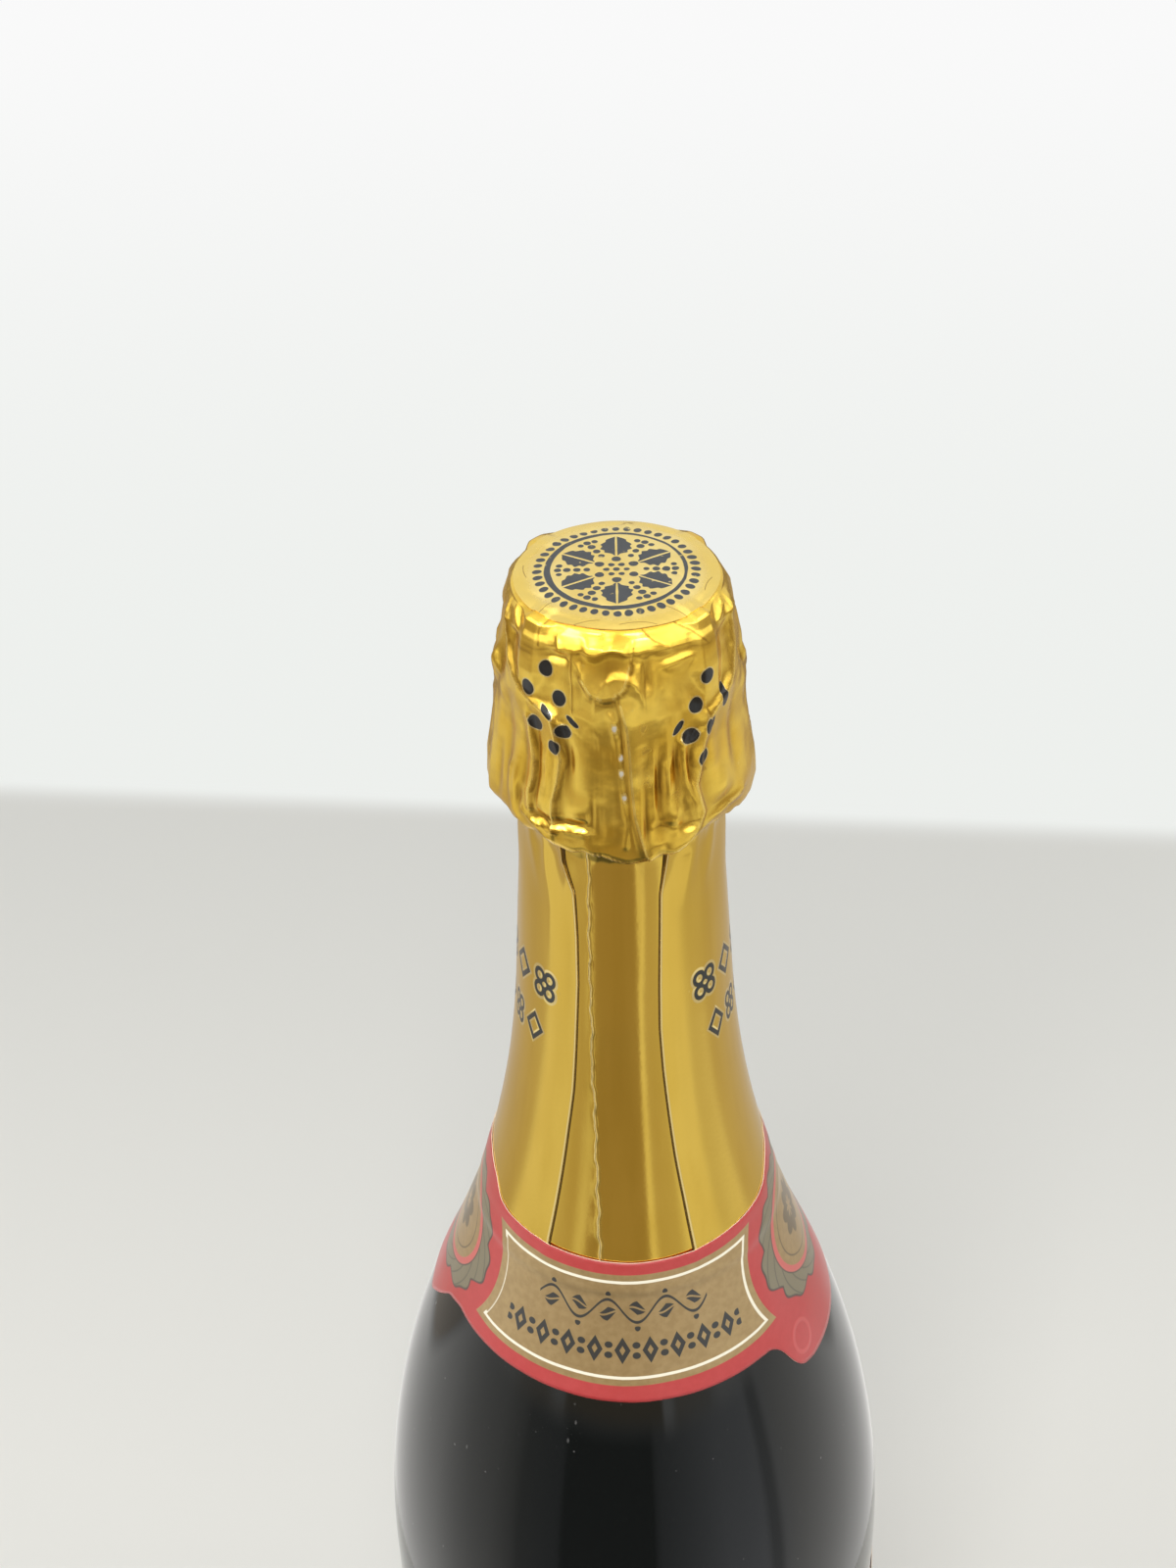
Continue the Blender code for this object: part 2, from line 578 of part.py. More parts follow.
def cork_outline():
    """Cork from its head's top down to the upper disc, as an outline that ends on the axis."""
    foot_z = LIP_Z - CORK_SHANK_LENGTH + 2 * (CORK_DISC_THICKNESS + GLUE_LINE)
    seat_z = LIP_Z + CORK_SEAT_GAP
    crown = [(CORK_TOP_RADIUS - CORK_EDGE_ROUND, HEAD_TOP_Z), (CORK_TOP_RADIUS, HEAD_TOP_Z - CORK_EDGE_ROUND)]
    head = [
        (mix(CORK_TOP_RADIUS, CORK_HEAD_RADIUS, share), mix(PLATE_RIM_Z, seat_z, down))
        for down, share in CORK_HEAD_SHARES
    ]
    seat = [(mix(CORK_SHANK_RADIUS, CORK_TOP_RADIUS, CORK_SEAT_SHARE), seat_z)]
    shank = [(CORK_SHANK_RADIUS, seat_z), (CORK_SHANK_RADIUS, foot_z)]
    return [(0.0, HEAD_TOP_Z)] + crown + head + seat + shank + [(0.0, foot_z)]


def cork_disc_outline(foot_z, foot_round):
    """One disc of natural cork at the foot of the shank."""
    top_z = foot_z + CORK_DISC_THICKNESS
    points = [(0.0, top_z), (CORK_SHANK_RADIUS, top_z)]
    if foot_round:
        points.append((CORK_SHANK_RADIUS, foot_z + foot_round))
    return points + [(CORK_SHANK_RADIUS - foot_round, foot_z), (0.0, foot_z)]


def plate_outline():
    """Top of the pressed plate: its dome, the groove for the wire ring and its turned-down rim."""
    dome_z = PLATE_GROOVE_Z + 2 * CAGE_WIRE_RADIUS
    dome_foot_r = PLATE_DOME_RADIUS + PLATE_DOME_SLOPE / 2
    return [
        (0.0, dome_z),
        (PLATE_DOME_RADIUS - PLATE_DOME_SLOPE / 2, dome_z),
        (dome_foot_r, PLATE_GROOVE_Z),
        (PLATE_RADIUS - PLATE_THICKNESS, PLATE_GROOVE_Z),
        (PLATE_RADIUS, PLATE_GROOVE_Z - PLATE_THICKNESS),
        (PLATE_RADIUS, PLATE_RIM_Z),
    ]


def build_bottle_body(body):
    """The glass with what stays on it: neck foil, collar label and front label."""
    glass = make_material("bottle_glass", (0.012, 0.016, 0.010), 0.06)
    satin_gold = make_material("neck_foil_gold", (0.62, 0.42, 0.06), 0.32, 1.0)
    red_paper = make_material("collar_paper", (0.55, 0.05, 0.06), 0.5)
    cream_paper = make_material("front_paper", (0.8, 0.74, 0.58), 0.6)
    turned("glass_bottle", glass_outline(), body, glass, GLASS_SIDES)
    turned("neck_foil", neck_foil_outline(), body, satin_gold, GLASS_SIDES, thickness=-FOIL_THICKNESS)
    collar_label(body, red_paper)
    label_r = BODY_RADIUS + SKIN_GAP
    sweep = degrees(FRONT_LABEL_WIDTH / label_r)
    outline = [(label_r, FRONT_LABEL_FOOT + FRONT_LABEL_HEIGHT), (label_r, FRONT_LABEL_FOOT)]
    sides = round(GLASS_SIDES * sweep / 360.0)
    start = FRONT_AZIMUTH_DEG - sweep / 2
    turned("front_label", outline, body, cream_paper, sides, sweep, start, PAPER_THICKNESS)


def build_cork(body):
    """Agglomerate cork with two discs of natural cork at its foot."""
    grain = make_material("cork_grain", (0.52, 0.33, 0.17), 0.85)
    natural = make_material("cork_natural", (0.60, 0.40, 0.22), 0.8)
    turned("cork_body", cork_outline(), body, grain, CORK_SIDES)
    foot_z = LIP_Z - CORK_SHANK_LENGTH
    lower = cork_disc_outline(foot_z, CORK_EDGE_ROUND)
    upper = cork_disc_outline(foot_z + CORK_DISC_THICKNESS + GLUE_LINE, 0.0)
    turned("cork_disc_lower", lower, body, natural, CORK_SIDES)
    turned("cork_disc_upper", upper, body, natural, CORK_SIDES)


def build_cage(body):
    """Pressed plate, four twisted cage wires and the belt wire."""
    plate = make_material("cage_plate", (0.66, 0.52, 0.22), 0.3, 1.0)
    steel = make_material("cage_wire", (0.55, 0.55, 0.56), 0.35, 1.0)
    turned("cap_plate", plate_outline(), body, plate, CORK_SIDES, thickness=-PLATE_THICKNESS)
    for number, first_deg in enumerate(LEG_AZIMUTHS_DEG, start=1):
        cage_wire(f"cage_wire_{number}", first_deg, body, steel)
    belt_wire(body, steel)


def build_foil_cap(body):
    """Crumpled skirt and the printed disc on its top."""
    bright_gold = make_material("cap_foil_gold", (0.72, 0.50, 0.08), 0.22, 1.0)
    pale_gold = make_material("cap_disc_gold", (0.78, 0.66, 0.34), 0.35, 1.0)
    foil_cap(body, bright_gold)
    disc_top = DISC_FOOT_Z + FOIL_THICKNESS
    disc = [(0.0, disc_top), (FOIL_DISC_RADIUS, disc_top), (FOIL_DISC_RADIUS, DISC_FOOT_Z), (0.0, DISC_FOOT_Z)]
    turned("cap_foil_disc", disc, body, pale_gold, GLASS_SIDES)


def add_body(name, parent=None):
    """An empty on the bottle's axis that a body's pieces are parented to."""
    empty = bpy.data.objects.new(name, None)
    BOTTLE.objects.link(empty)
    empty.parent = parent
    return empty


for old in list(bpy.data.objects):
    bpy.data.objects.remove(old)
BOTTLE = bpy.data.collections.new("champagne_bottle")
bpy.context.scene.collection.children.link(BOTTLE)

bottle_frame = add_body("bottle_frame")
cork_frame = add_body("cork_frame", bottle_frame)
cage_frame = add_body("cage_frame", cork_frame)
foil_frame = add_body("foil_frame", cage_frame)
build_bottle_body(bottle_frame)
build_cork(cork_frame)
build_cage(cage_frame)
build_foil_cap(foil_frame)
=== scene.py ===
"""The look of a dressed sparkling-wine bottle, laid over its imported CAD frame.

Places on the bottle are given as a turn in degrees (0 faces the camera, rising to the right)
and a depth in millimetres below the highest point. Lengths are in millimetres until a mesh is laid;
the studio's are in metres. LEGS are the turns of the cage's legs, LEG_HALF_WIDTH is the turn from a
leg's middle to its side, and NECK_RADIUS is the radius at which a turn on the neck is measured.
"""
import logging
import math
from dataclasses import dataclass
from enum import Enum
from functools import reduce
from typing import Callable, Sequence

import bmesh
import bpy
import numpy as np
from mathutils import Matrix, Vector


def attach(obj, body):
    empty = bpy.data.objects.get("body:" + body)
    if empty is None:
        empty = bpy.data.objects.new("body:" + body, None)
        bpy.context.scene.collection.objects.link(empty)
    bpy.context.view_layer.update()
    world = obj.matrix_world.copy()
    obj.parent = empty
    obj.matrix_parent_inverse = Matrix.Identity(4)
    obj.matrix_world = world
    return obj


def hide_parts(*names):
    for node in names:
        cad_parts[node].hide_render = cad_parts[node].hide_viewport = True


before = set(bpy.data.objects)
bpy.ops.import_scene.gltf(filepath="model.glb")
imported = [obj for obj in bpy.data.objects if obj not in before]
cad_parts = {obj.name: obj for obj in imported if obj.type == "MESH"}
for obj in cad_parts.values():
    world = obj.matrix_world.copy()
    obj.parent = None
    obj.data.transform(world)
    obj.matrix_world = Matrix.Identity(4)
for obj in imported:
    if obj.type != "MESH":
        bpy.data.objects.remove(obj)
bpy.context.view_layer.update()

log = logging.getLogger("bottle")

MM = 0.001
TOP = 320.0
LEGS = (-133.0, -47.0, 47.0, 133.0)
LEG_HALF_WIDTH = 4.2
NECK_RADIUS = 16.0

Point = tuple[float, float]
Table = Sequence[Point]
Color = tuple[float, float, float]
Array = np.ndarray
Piece = bpy.types.Object
Material = bpy.types.Material
Laid = tuple[Array, Array, Array]
Place = Callable[[Array, Array], Laid]


# Numbers over a grid of places

def smooth(value: Array, start: float, end: float) -> Array:
    """Rise from 0 at start to 1 at end, which may lie below start, with level ends."""
    share = np.clip((value - start) / (end - start), 0.0, 1.0)
    return share * share * (3.0 - 2.0 * share)


def along(value: Array, table: Table) -> Array:
    """Straight-line values from a table of (place, value) pairs in rising order of place."""
    places, values = zip(*table)
    return np.interp(value, places, values)


def softly_along(turn: Array, table: Table, reach: float = 1.5) -> Array:
    """Values from a table, with its corners rounded over a reach to each side."""
    steps = (-1.0, -0.5, 0.0, 0.5, 1.0)
    return sum(along(turn + reach * step, table) for step in steps) / len(steps)


def hump(value: Array, centre: float, width: float) -> Array:
    """A bell of height 1 round a centre."""
    return np.exp(-(((value - centre) / width) ** 2))


def mound(x: Array, y: Array, centre_x: float, centre_y: float, width_x: float, width_y: float) -> Array:
    """A bell of height 1 round a place."""
    return hump(x, centre_x, width_x) * hump(y, centre_y, width_y)


def turn_from(turn: Array, centre: float) -> Array:
    """Signed degrees from a centre, from -180 to 180."""
    return (turn - centre + 180.0) % 360.0 - 180.0


def from_leg(turn: Array) -> Array:
    """Degrees by which each place lies outside the room of the nearest leg's wires."""
    nearest = np.min([np.abs(turn_from(turn, leg)) for leg in LEGS], axis=0)
    return np.maximum(nearest - LEG_HALF_WIDTH, 0.0)


@dataclass(frozen=True)
class Fold:
    """A fold pressed into foil: a crest along a line of (turn, depth) places."""

    height: float
    left: float
    right: float
    line: Table
    round: float = 0.18

    def reach(self, turn: Array, depth: Array, radius: float) -> tuple[Array, Array]:
        """Distance of each place from the crest, and which side of it the place is on.

        Args:
            turn: Turns of the places, in degrees.
            depth: Depths of the places.
            radius: Radius at which a turn is measured.

        Returns:
            The distances, and values that are above 0 on the crest's left side.
        """
        per_degree = math.radians(radius)
        across = turn_from(turn, self.line[0][0])
        best = np.full(turn.shape, 1e9)
        side = np.zeros(turn.shape)
        for (turn_a, depth_a), (turn_b, depth_b) in zip(self.line, self.line[1:]):
            run = (turn_b - turn_a) * per_degree
            fall = depth_b - depth_a
            dx = (across - (turn_a - self.line[0][0])) * per_degree
            dy = depth - depth_a
            share = np.clip((dx * run + dy * fall) / (run * run + fall * fall), 0.0, 1.0)
            distance = np.hypot(dx - share * run, dy - share * fall)
            nearer = distance < best
            best = np.where(nearer, distance, best)
            side = np.where(nearer, run * dy - fall * dx, side)
        return best, side

    def rise(self, turn: Array, depth: Array, radius: float) -> Array:
        """How far the fold lifts each place, falling away on both sides of its crest.

        Args:
            turn: Turns of the places.
            depth: Their depths.
            radius: Radius at which a turn is measured.

        Returns:
            The lift of each place.
        """
        distance, side = self.reach(turn, depth, radius)
        width = np.where(side > 0.0, self.left, self.right)
        return self.height * np.exp(-(np.sqrt(distance**2 + self.round**2) - self.round) / width)


# Modelling by hand

def deselect() -> None:
    """Deselect every object, so that the next operator finds only its own piece."""
    bpy.ops.object.select_all(action="DESELECT")


def choose(obj: Piece) -> None:
    """Make an object the active one and the only one selected.

    Args:
        obj: The object.
    """
    deselect()
    obj.select_set(True)
    bpy.context.view_layer.objects.active = obj


def named(name: str) -> Piece:
    """Name the object that an operator has just added, and its mesh.

    Args:
        name: The name.

    Returns:
        The object.
    """
    obj = bpy.context.object
    obj.name = name
    obj.data.name = name
    return obj


def linked(name: str, data: bpy.types.ID) -> Piece:
    """A new object in the scene that shows some data.

    Args:
        name: The name.
        data: The data.

    Returns:
        The object.
    """
    obj = bpy.data.objects.new(name, data)
    bpy.context.scene.collection.objects.link(obj)
    return obj


def in_place(obj: Piece) -> Piece:
    """Put an object's place into its mesh, so that the object sits at the origin.

    Args:
        obj: The object.

    Returns:
        The same object.
    """
    choose(obj)
    bpy.ops.object.transform_apply(location=True, rotation=True, scale=True)
    return obj


def finished(obj: Piece, modifier: str, **settings: object) -> Piece:
    """Add a modifier and apply it.

    Args:
        obj: The piece.
        modifier: The modifier's type.
        settings: The modifier's own settings.

    Returns:
        The same piece.
    """
    choose(obj)
    made = obj.modifiers.new(modifier.title(), modifier)
    for key, value in settings.items():
        setattr(made, key, value)
    bpy.ops.object.modifier_apply(modifier=made.name)
    return obj


def spun(name: str, outline: Table, sides: int) -> Piece:
    """A turned piece: an outline drawn point by point and spun round the bottle's axis.

    Args:
        name: The piece's name.
        outline: Points as (radius, height).
        sides: Steps of the spin.

    Returns:
        The piece, smooth apart from its sharp corners.
    """
    deselect()
    bpy.ops.mesh.primitive_plane_add(size=MM)
    obj = named(name)
    bpy.ops.object.mode_set(mode="EDIT")
    bpy.ops.mesh.select_all(action="SELECT")
    bpy.ops.mesh.merge(type="CENTER")
    first_r, first_z = outline[0]
    bpy.ops.transform.translate(value=(first_r * MM, 0.0, first_z * MM))
    for (r0, z0), (r1, z1) in zip(outline, outline[1:]):
        step = ((r1 - r0) * MM, 0.0, (z1 - z0) * MM)
        bpy.ops.mesh.extrude_vertices_move(TRANSFORM_OT_translate={"value": step})
    bpy.ops.mesh.select_all(action="SELECT")
    bpy.ops.mesh.spin(steps=sides, angle=2.0 * math.pi, center=(0.0, 0.0, 0.0), axis=(0.0, 0.0, 1.0))
    bpy.ops.mesh.select_all(action="SELECT")
    bpy.ops.mesh.remove_doubles(threshold=1e-6)
    bpy.ops.mesh.normals_make_consistent(inside=False)
    bpy.ops.object.mode_set(mode="OBJECT")
    bpy.ops.object.shade_smooth_by_angle(angle=math.radians(40.0))
    return obj


def move_points(obj: Piece, co: Array) -> None:
    """Move the points of a mesh to rows of coordinates."""
    obj.data.vertices.foreach_set("co", co.astype(np.float32).ravel())
    obj.data.update()


def lay(obj: Piece, u: Array, v: Array, place: Place) -> None:
    """Lay a sheet's points on the bottle.

    Args:
        obj: The sheet.
        u: Share of the way round of each point.
        v: Share of the way down of each point.
        place: Gives turn, depth and radius from the two shares.
    """
    turn, depth, radius = place(u, v)
    angle = np.radians(turn)
    move_points(obj, np.stack([radius * np.sin(angle), -radius * np.cos(angle), TOP - depth], axis=1) * MM)


def points_of(obj: Piece) -> Array:
    """The points of a mesh as rows of coordinates.

    Args:
        obj: The object.

    Returns:
        One row for each point.
    """
    co = np.zeros(len(obj.data.vertices) * 3, np.float32)
    obj.data.vertices.foreach_get("co", co)
    return co.reshape(-1, 3).astype(float)


def turns_of(co: Array) -> Array:
    """Degrees round the bottle of rows of coordinates."""
    return np.degrees(np.arctan2(co[:, 0], -co[:, 1]))


def sleeve(name: str, columns: int, rows: int, place: Place) -> Piece:
    """A sheet all the way round: an open cylinder cut into rows and laid on the bottle.

    Args:
        name: The piece's name.
        columns: Points round it.
        rows: Bands from its head to its foot.
        place: Gives turn, depth and radius from shares round and down.

    Returns:
        The sheet, without thickness yet.
    """
    deselect()
    bpy.ops.mesh.primitive_cylinder_add(vertices=columns, radius=1.0, depth=1.0, end_fill_type="NOTHING")
    obj = named(name)
    bpy.ops.object.mode_set(mode="EDIT")
    bpy.ops.mesh.select_mode(type="EDGE")
    bpy.ops.mesh.select_all(action="DESELECT")
    drawn = bmesh.from_edit_mesh(obj.data)
    for edge in drawn.edges:
        edge.select_set(abs(edge.verts[0].co.z - edge.verts[1].co.z) > 0.5)
    bmesh.update_edit_mesh(obj.data)
    bpy.ops.mesh.subdivide(number_cuts=rows - 1)
    bpy.ops.mesh.select_mode(type="VERT")
    bpy.ops.object.mode_set(mode="OBJECT")
    co = points_of(obj)
    u = np.round(turns_of(co) / 360.0 * columns) / columns
    v = np.round((0.5 - co[:, 2]) * rows) / rows
    lay(obj, u, v, place)
    return obj


def strip(name: str, columns: int, rows: int, place: Place) -> Piece:
    """A sheet with two ends: a grid laid on the bottle.

    Args:
        name: The piece's name.
        columns: Bands from its left end to its right end.
        rows: Bands from its head to its foot.
        place: Gives turn, depth and radius from shares across and down.

    Returns:
        The sheet, without thickness yet.
    """
    deselect()
    bpy.ops.mesh.primitive_grid_add(x_subdivisions=columns, y_subdivisions=rows, size=1.0)
    obj = named(name)
    co = points_of(obj)
    lay(obj, co[:, 0] + 0.5, 0.5 - co[:, 1], place)
    return obj


def thickened(obj: Piece, thickness: float, **settings: object) -> None:
    """Give a sheet a thickness in millimetres, inwards, and smooth shading."""
    finished(obj, "SOLIDIFY", thickness=thickness * MM, offset=-1.0, **settings)
    obj.data.shade_smooth()


def keep_values(obj: Piece, name: str, values: Array) -> None:
    """Store one number for each point of a mesh, for its material to read."""
    made = obj.data.attributes.new(name, "FLOAT", "POINT")
    made.data.foreach_set("value", values.astype(np.float32))


def refined(node: str, name: str, levels: int) -> Piece:
    """A smoother copy of a CAD node, with its facets rounded by subdivision.

    Args:
        node: The CAD node's name.
        name: The new piece's name.
        levels: Levels of subdivision.

    Returns:
        The copy.
    """
    obj = linked(name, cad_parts[node].data.copy())
    obj.data.name = name
    choose(obj)
    bpy.ops.object.mode_set(mode="EDIT")
    bpy.ops.mesh.select_all(action="SELECT")
    bpy.ops.mesh.remove_doubles(threshold=1e-6)
    bpy.ops.mesh.tris_convert_to_quads()
    bpy.ops.object.mode_set(mode="OBJECT")
    finished(obj, "SUBSURF", levels=levels, render_levels=levels)
    obj.data.shade_smooth()
    return obj


# Materials as expressions

@dataclass(frozen=True)
class Field:
    """A number or colour that varies over a surface, with the usual operators."""

    paint: "Tree"
    socket: bpy.types.NodeSocket

    def math(self, operation: str, *others: "Field | float") -> "Field":
        """One Math node on this value and others."""
        return self.paint.node("Math", {"operation": operation}, dict(enumerate((self, *others))))

    def reflected(self, operation: str, other: float) -> "Field":
        """One Math node with this value second."""
        return self.paint.node("Math", {"operation": operation}, {0: other, 1: self})

    def __add__(self, other: "Field | float") -> "Field":
        """Sum."""
        return self.math("ADD", other)

    def __radd__(self, other: float) -> "Field":
        """Sum, with this value second."""
        return self.reflected("ADD", other)

    def __sub__(self, other: "Field | float") -> "Field":
        """Difference."""
        return self.math("SUBTRACT", other)

    def __rsub__(self, other: float) -> "Field":
        """Difference, with this value second."""
        return self.reflected("SUBTRACT", other)

    def __mul__(self, other: "Field | float") -> "Field":
        """Product."""
        return self.math("MULTIPLY", other)

    def __rmul__(self, other: float) -> "Field":
        """Product, with this value second."""
        return self.reflected("MULTIPLY", other)

    def __truediv__(self, other: "Field | float") -> "Field":
        """Quotient."""
        return self.math("DIVIDE", other)

    def __abs__(self) -> "Field":
        """Size without its sign."""
        return self.math("ABSOLUTE")

    def least(self, other: "Field | float") -> "Field":
        """The smaller of two values."""
        return self.math("MINIMUM", other)

    def most(self, other: "Field | float") -> "Field":
        """The larger of two values."""
        return self.math("MAXIMUM", other)

    def hypot(self, other: "Field") -> "Field":
        """Length of the slope over this value and another."""
        return (self * self + other * other).math("SQRT")

    def sine(self) -> "Field":
        """Sine of an angle in radians."""
        return self.math("SINE")

    def repeat(self, width: float) -> "Field":
        """The value's place in cells of a width, from minus to plus half of it."""
        return self.math("WRAP", width / 2.0, -width / 2.0)

    def step(self, low: float, high: float, before: float = 0.0, after: float = 1.0) -> "Field":
        """A smooth rise or fall between two values.

        Args:
            low: Where it starts.
            high: Where it ends.
            before: The result up to low.
            after: The result from high on.

        Returns:
            The result over the surface.
        """
        settings = {"interpolation_type": "SMOOTHSTEP"}
        inputs = {"Value": self, "From Min": low, "From Max": high, "To Min": before, "To Max": after}
        return self.paint.node("MapRange", settings, inputs)

    def below(self, limit: "Field | float", soft: float = 0.06) -> "Field":
        """1 where the value is below a limit, with a soft edge."""
        return (self - limit).step(-soft, soft, 1.0, 0.0)

    def curve(self, table: Table) -> "Field":
        """The value looked up in a table.

        Args:
            table: Pairs of (place, value) in rising order of place.

        Returns:
            The looked-up value over the surface.
        """
        low, high = table[0][0], table[-1][0]
        values = [value for _, value in table]
        least, span = min(values), max(values) - min(values)
        stops = [((x - low) / (high - low), ((y - least) / span,) * 3) for x, y in table]
        grey = self.paint.node("ValToRGB", {"stops": stops}, {0: (self - low) / (high - low)})
        return grey * span + least


class Tree:
    """The nodes of a material or a world, written as expressions."""

    def __init__(self, owner: "Material | bpy.types.World") -> None:
        """Empty the owner's nodes.

        Args:
            owner: A material or the world.
        """
        owner.use_nodes = True
        self.tree = owner.node_tree
        self.tree.nodes.clear()

    def node(self, kind: str, settings: dict, inputs: dict, output: "int | str" = 0) -> Field:
        """Add a node.

        Args:
            kind: The node's type, without its ShaderNode prefix.
            settings: Its own settings, set first. "stops" are a ramp's (place, colour) pairs.
            inputs: Values or fields by the name or number of each socket.
            output: Which output is wanted.

        Returns:
            That output.
        """
        made = self.tree.nodes.new("ShaderNode" + kind)
        for key, value in settings.items():
            if key == "stops":
                self.set_stops(made.color_ramp, value)
            else:
                setattr(made, key, value)
        for key, value in inputs.items():
            socket = made.inputs[key]
            if isinstance(value, Field):
                self.tree.links.new(value.socket, socket)
            elif isinstance(value, tuple) and len(value) == 3 and socket.type == "RGBA":
                socket.default_value = (*value, 1.0)
            else:
                socket.default_value = value
        return Field(self, made.outputs[output])

    @staticmethod
    def set_stops(ramp: bpy.types.ColorRamp, stops: Sequence[tuple[float, Color]]) -> None:
        """Give a colour ramp its stops.

        Args:
            ramp: The ramp.
            stops: Its (place, colour) pairs.
        """
        while len(ramp.elements) < len(stops):
            ramp.elements.new(1.0)
        for element, (place, color) in zip(ramp.elements, stops):
            element.position = place
            element.color = (*color, 1.0)

    def mix(self, share: "Field | float", a: "Field | Color", b: "Field | Color") -> Field:
        """A colour between two."""
        return self.node("Mix", {"data_type": "RGBA"}, {0: share, 6: a, 7: b}, 2)

    def layers(self, ground: "Field | Color", *coats: "tuple[Field | float, Field | Color]") -> Field:
        """A ground colour under coats laid on in turn.

        Args:
            ground: The ground colour.
            coats: The coats, each a (share, colour) pair.

        Returns:
            The colour.
        """
        for share, color in coats:
            ground = self.mix(share, ground, color)
        return ground

    def scaled(self, color: "Field | Color", share: Field) -> Field:
        """A colour made brighter or darker by a number."""
        return self.node("VectorMath", {"operation": "SCALE"}, {"Vector": color, "Scale": share})

    def glow(self, color: "Field | Color") -> Field:
        """A shader that gives off a colour."""
        return self.node("Emission", {}, {"Color": color, "Strength": 1.0})

    def show(self, shader: Field, output: str = "OutputMaterial") -> None:
        """Link a shader to the output."""
        made = self.tree.nodes.new("ShaderNode" + output)
        self.tree.links.new(shader.socket, made.inputs["Surface"])


class Paint(Tree):
    """One material and its pattern."""

    def __init__(self, name: str) -> None:
        """Start an empty material.

        Args:
            name: The name.
        """
        self.material = bpy.data.materials.new(name)
        super().__init__(self.material)
        self.spot = self.node("TexCoord", {}, {}, "Object")
        self.x, self.y, self.z = (self.node("SeparateXYZ", {}, {0: self.spot}, i) for i in range(3))

    def turn(self) -> Field:
        """Degrees round the bottle from the camera's side."""
        return self.x.math("ARCTAN2", self.y * -1.0) * math.degrees(1.0)

    def depth(self) -> Field:
        """Millimetres below the bottle's top."""
        return TOP - self.z * 1000.0

    def value(self, name: str) -> Field:
        """A number that the mesh keeps for each of its points."""
        return self.node("Attribute", {"attribute_name": name}, {}, "Fac")

    def stretched(self, scale: Color) -> Field:
        """The object's coordinates scaled along each axis."""
        return self.node("Mapping", {}, {"Vector": self.spot, "Scale": scale})

    def noise(self, scale: float, detail: float = 3.0, spot: "Field | None" = None) -> Field:
        """Cloudy noise round 0.5."""
        inputs = {"Vector": spot or self.spot, "Scale": scale, "Detail": detail}
        return self.node("TexNoise", {}, inputs, "Fac")

    def grains(self, scale: float, feature: str = "F1", spot: "Field | None" = None,
               output: str = "Distance") -> Field:
        """Cell noise: distances, or colours of the cells."""
        inputs = {"Vector": spot or self.spot, "Scale": scale}
        return self.node("TexVoronoi", {"feature": feature}, inputs, output)

    def bump(self, height: Field, distance: float) -> Field:
        """A normal from heights, where a height of 1 stands for a distance in metres."""
        return self.node("Bump", {}, {"Height": height, "Distance": distance, "Strength": 1.0})

    def surface(self, **inputs: "Field | float | Color") -> Material:
        """Close the material with a principled surface.

        Args:
            inputs: Values or fields by socket name, with _ for a space.

        Returns:
            The material.
        """
        named_inputs = {key.replace("_", " "): value for key, value in inputs.items()}
        self.show(self.node("BsdfPrincipled", {}, named_inputs))
        return self.material


def dress(obj: Piece, body: str, slot: str, nodes: Sequence[str], *materials: Material) -> Piece:
    """Give a piece its materials and tie it to the frame.

    Args:
        obj: The piece.
        body: The CAD body that it rides on.
        slot: The record's material slot; not used.
        nodes: The CAD nodes that it stands for.
        materials: Its materials, in the order of its material slots.

    Returns:
        The same piece.
    """
    obj.data.materials.clear()
    for material in materials:
        obj.data.materials.append(material)
    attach(obj, body)
    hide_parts(*nodes)
    log.info("%s: %d points on %s", obj.name, len(obj.data.vertices), body)
    return obj


# Finishes

@dataclass(frozen=True)
class DarkGlass:
    """Near-black green bottle glass, polished, with a little dust and handling."""

    color: Color = (0.0035, 0.0042, 0.0035)
    dust_color: Color = (0.16, 0.155, 0.15)
    roughness: float = 0.035

    def material(self) -> Material:
        """Build the material.

        Returns:
            The material.
        """
        paint = Paint("dark_bottle_glass")
        fleck_size = paint.noise(70.0, 1.0)
        fleck = (paint.grains(330.0) + fleck_size * 0.25).below(0.155, 0.03)
        fine = (paint.grains(1150.0) + fleck_size * 0.22).below(0.145, 0.04)
        dust = fleck.most(fine * 0.35) * paint.noise(38.0).step(0.4, 0.62)
        lint = paint.grains(300.0, spot=paint.stretched((1.0, 1.0, 0.35))) + fleck_size * 0.25
        dust = dust.most(lint.below(0.15, 0.02) * 0.5)
        cloud = paint.noise(26.0, 5.0).step(0.42, 0.75)
        wipe = paint.noise(60.0, 2.0, paint.stretched((1.0, 1.0, 0.12))).step(0.5, 0.8)
        rough = cloud * 0.05 + wipe * 0.03 + dust * 0.5 + self.roughness
        ripple = paint.noise(24.0, 1.0, paint.stretched((1.0, 1.0, 0.5)))
        return paint.surface(
            Base_Color=paint.mix(dust * 0.8, self.color, self.dust_color),
            Roughness=rough,
            IOR=1.52,
            Normal=paint.bump(ripple, 0.0004),
        )


class Ornament(Enum):
    """Plain shapes that stand in print rows."""

    LOZENGE = "lozenge"
    QUATREFOIL = "quatrefoil"


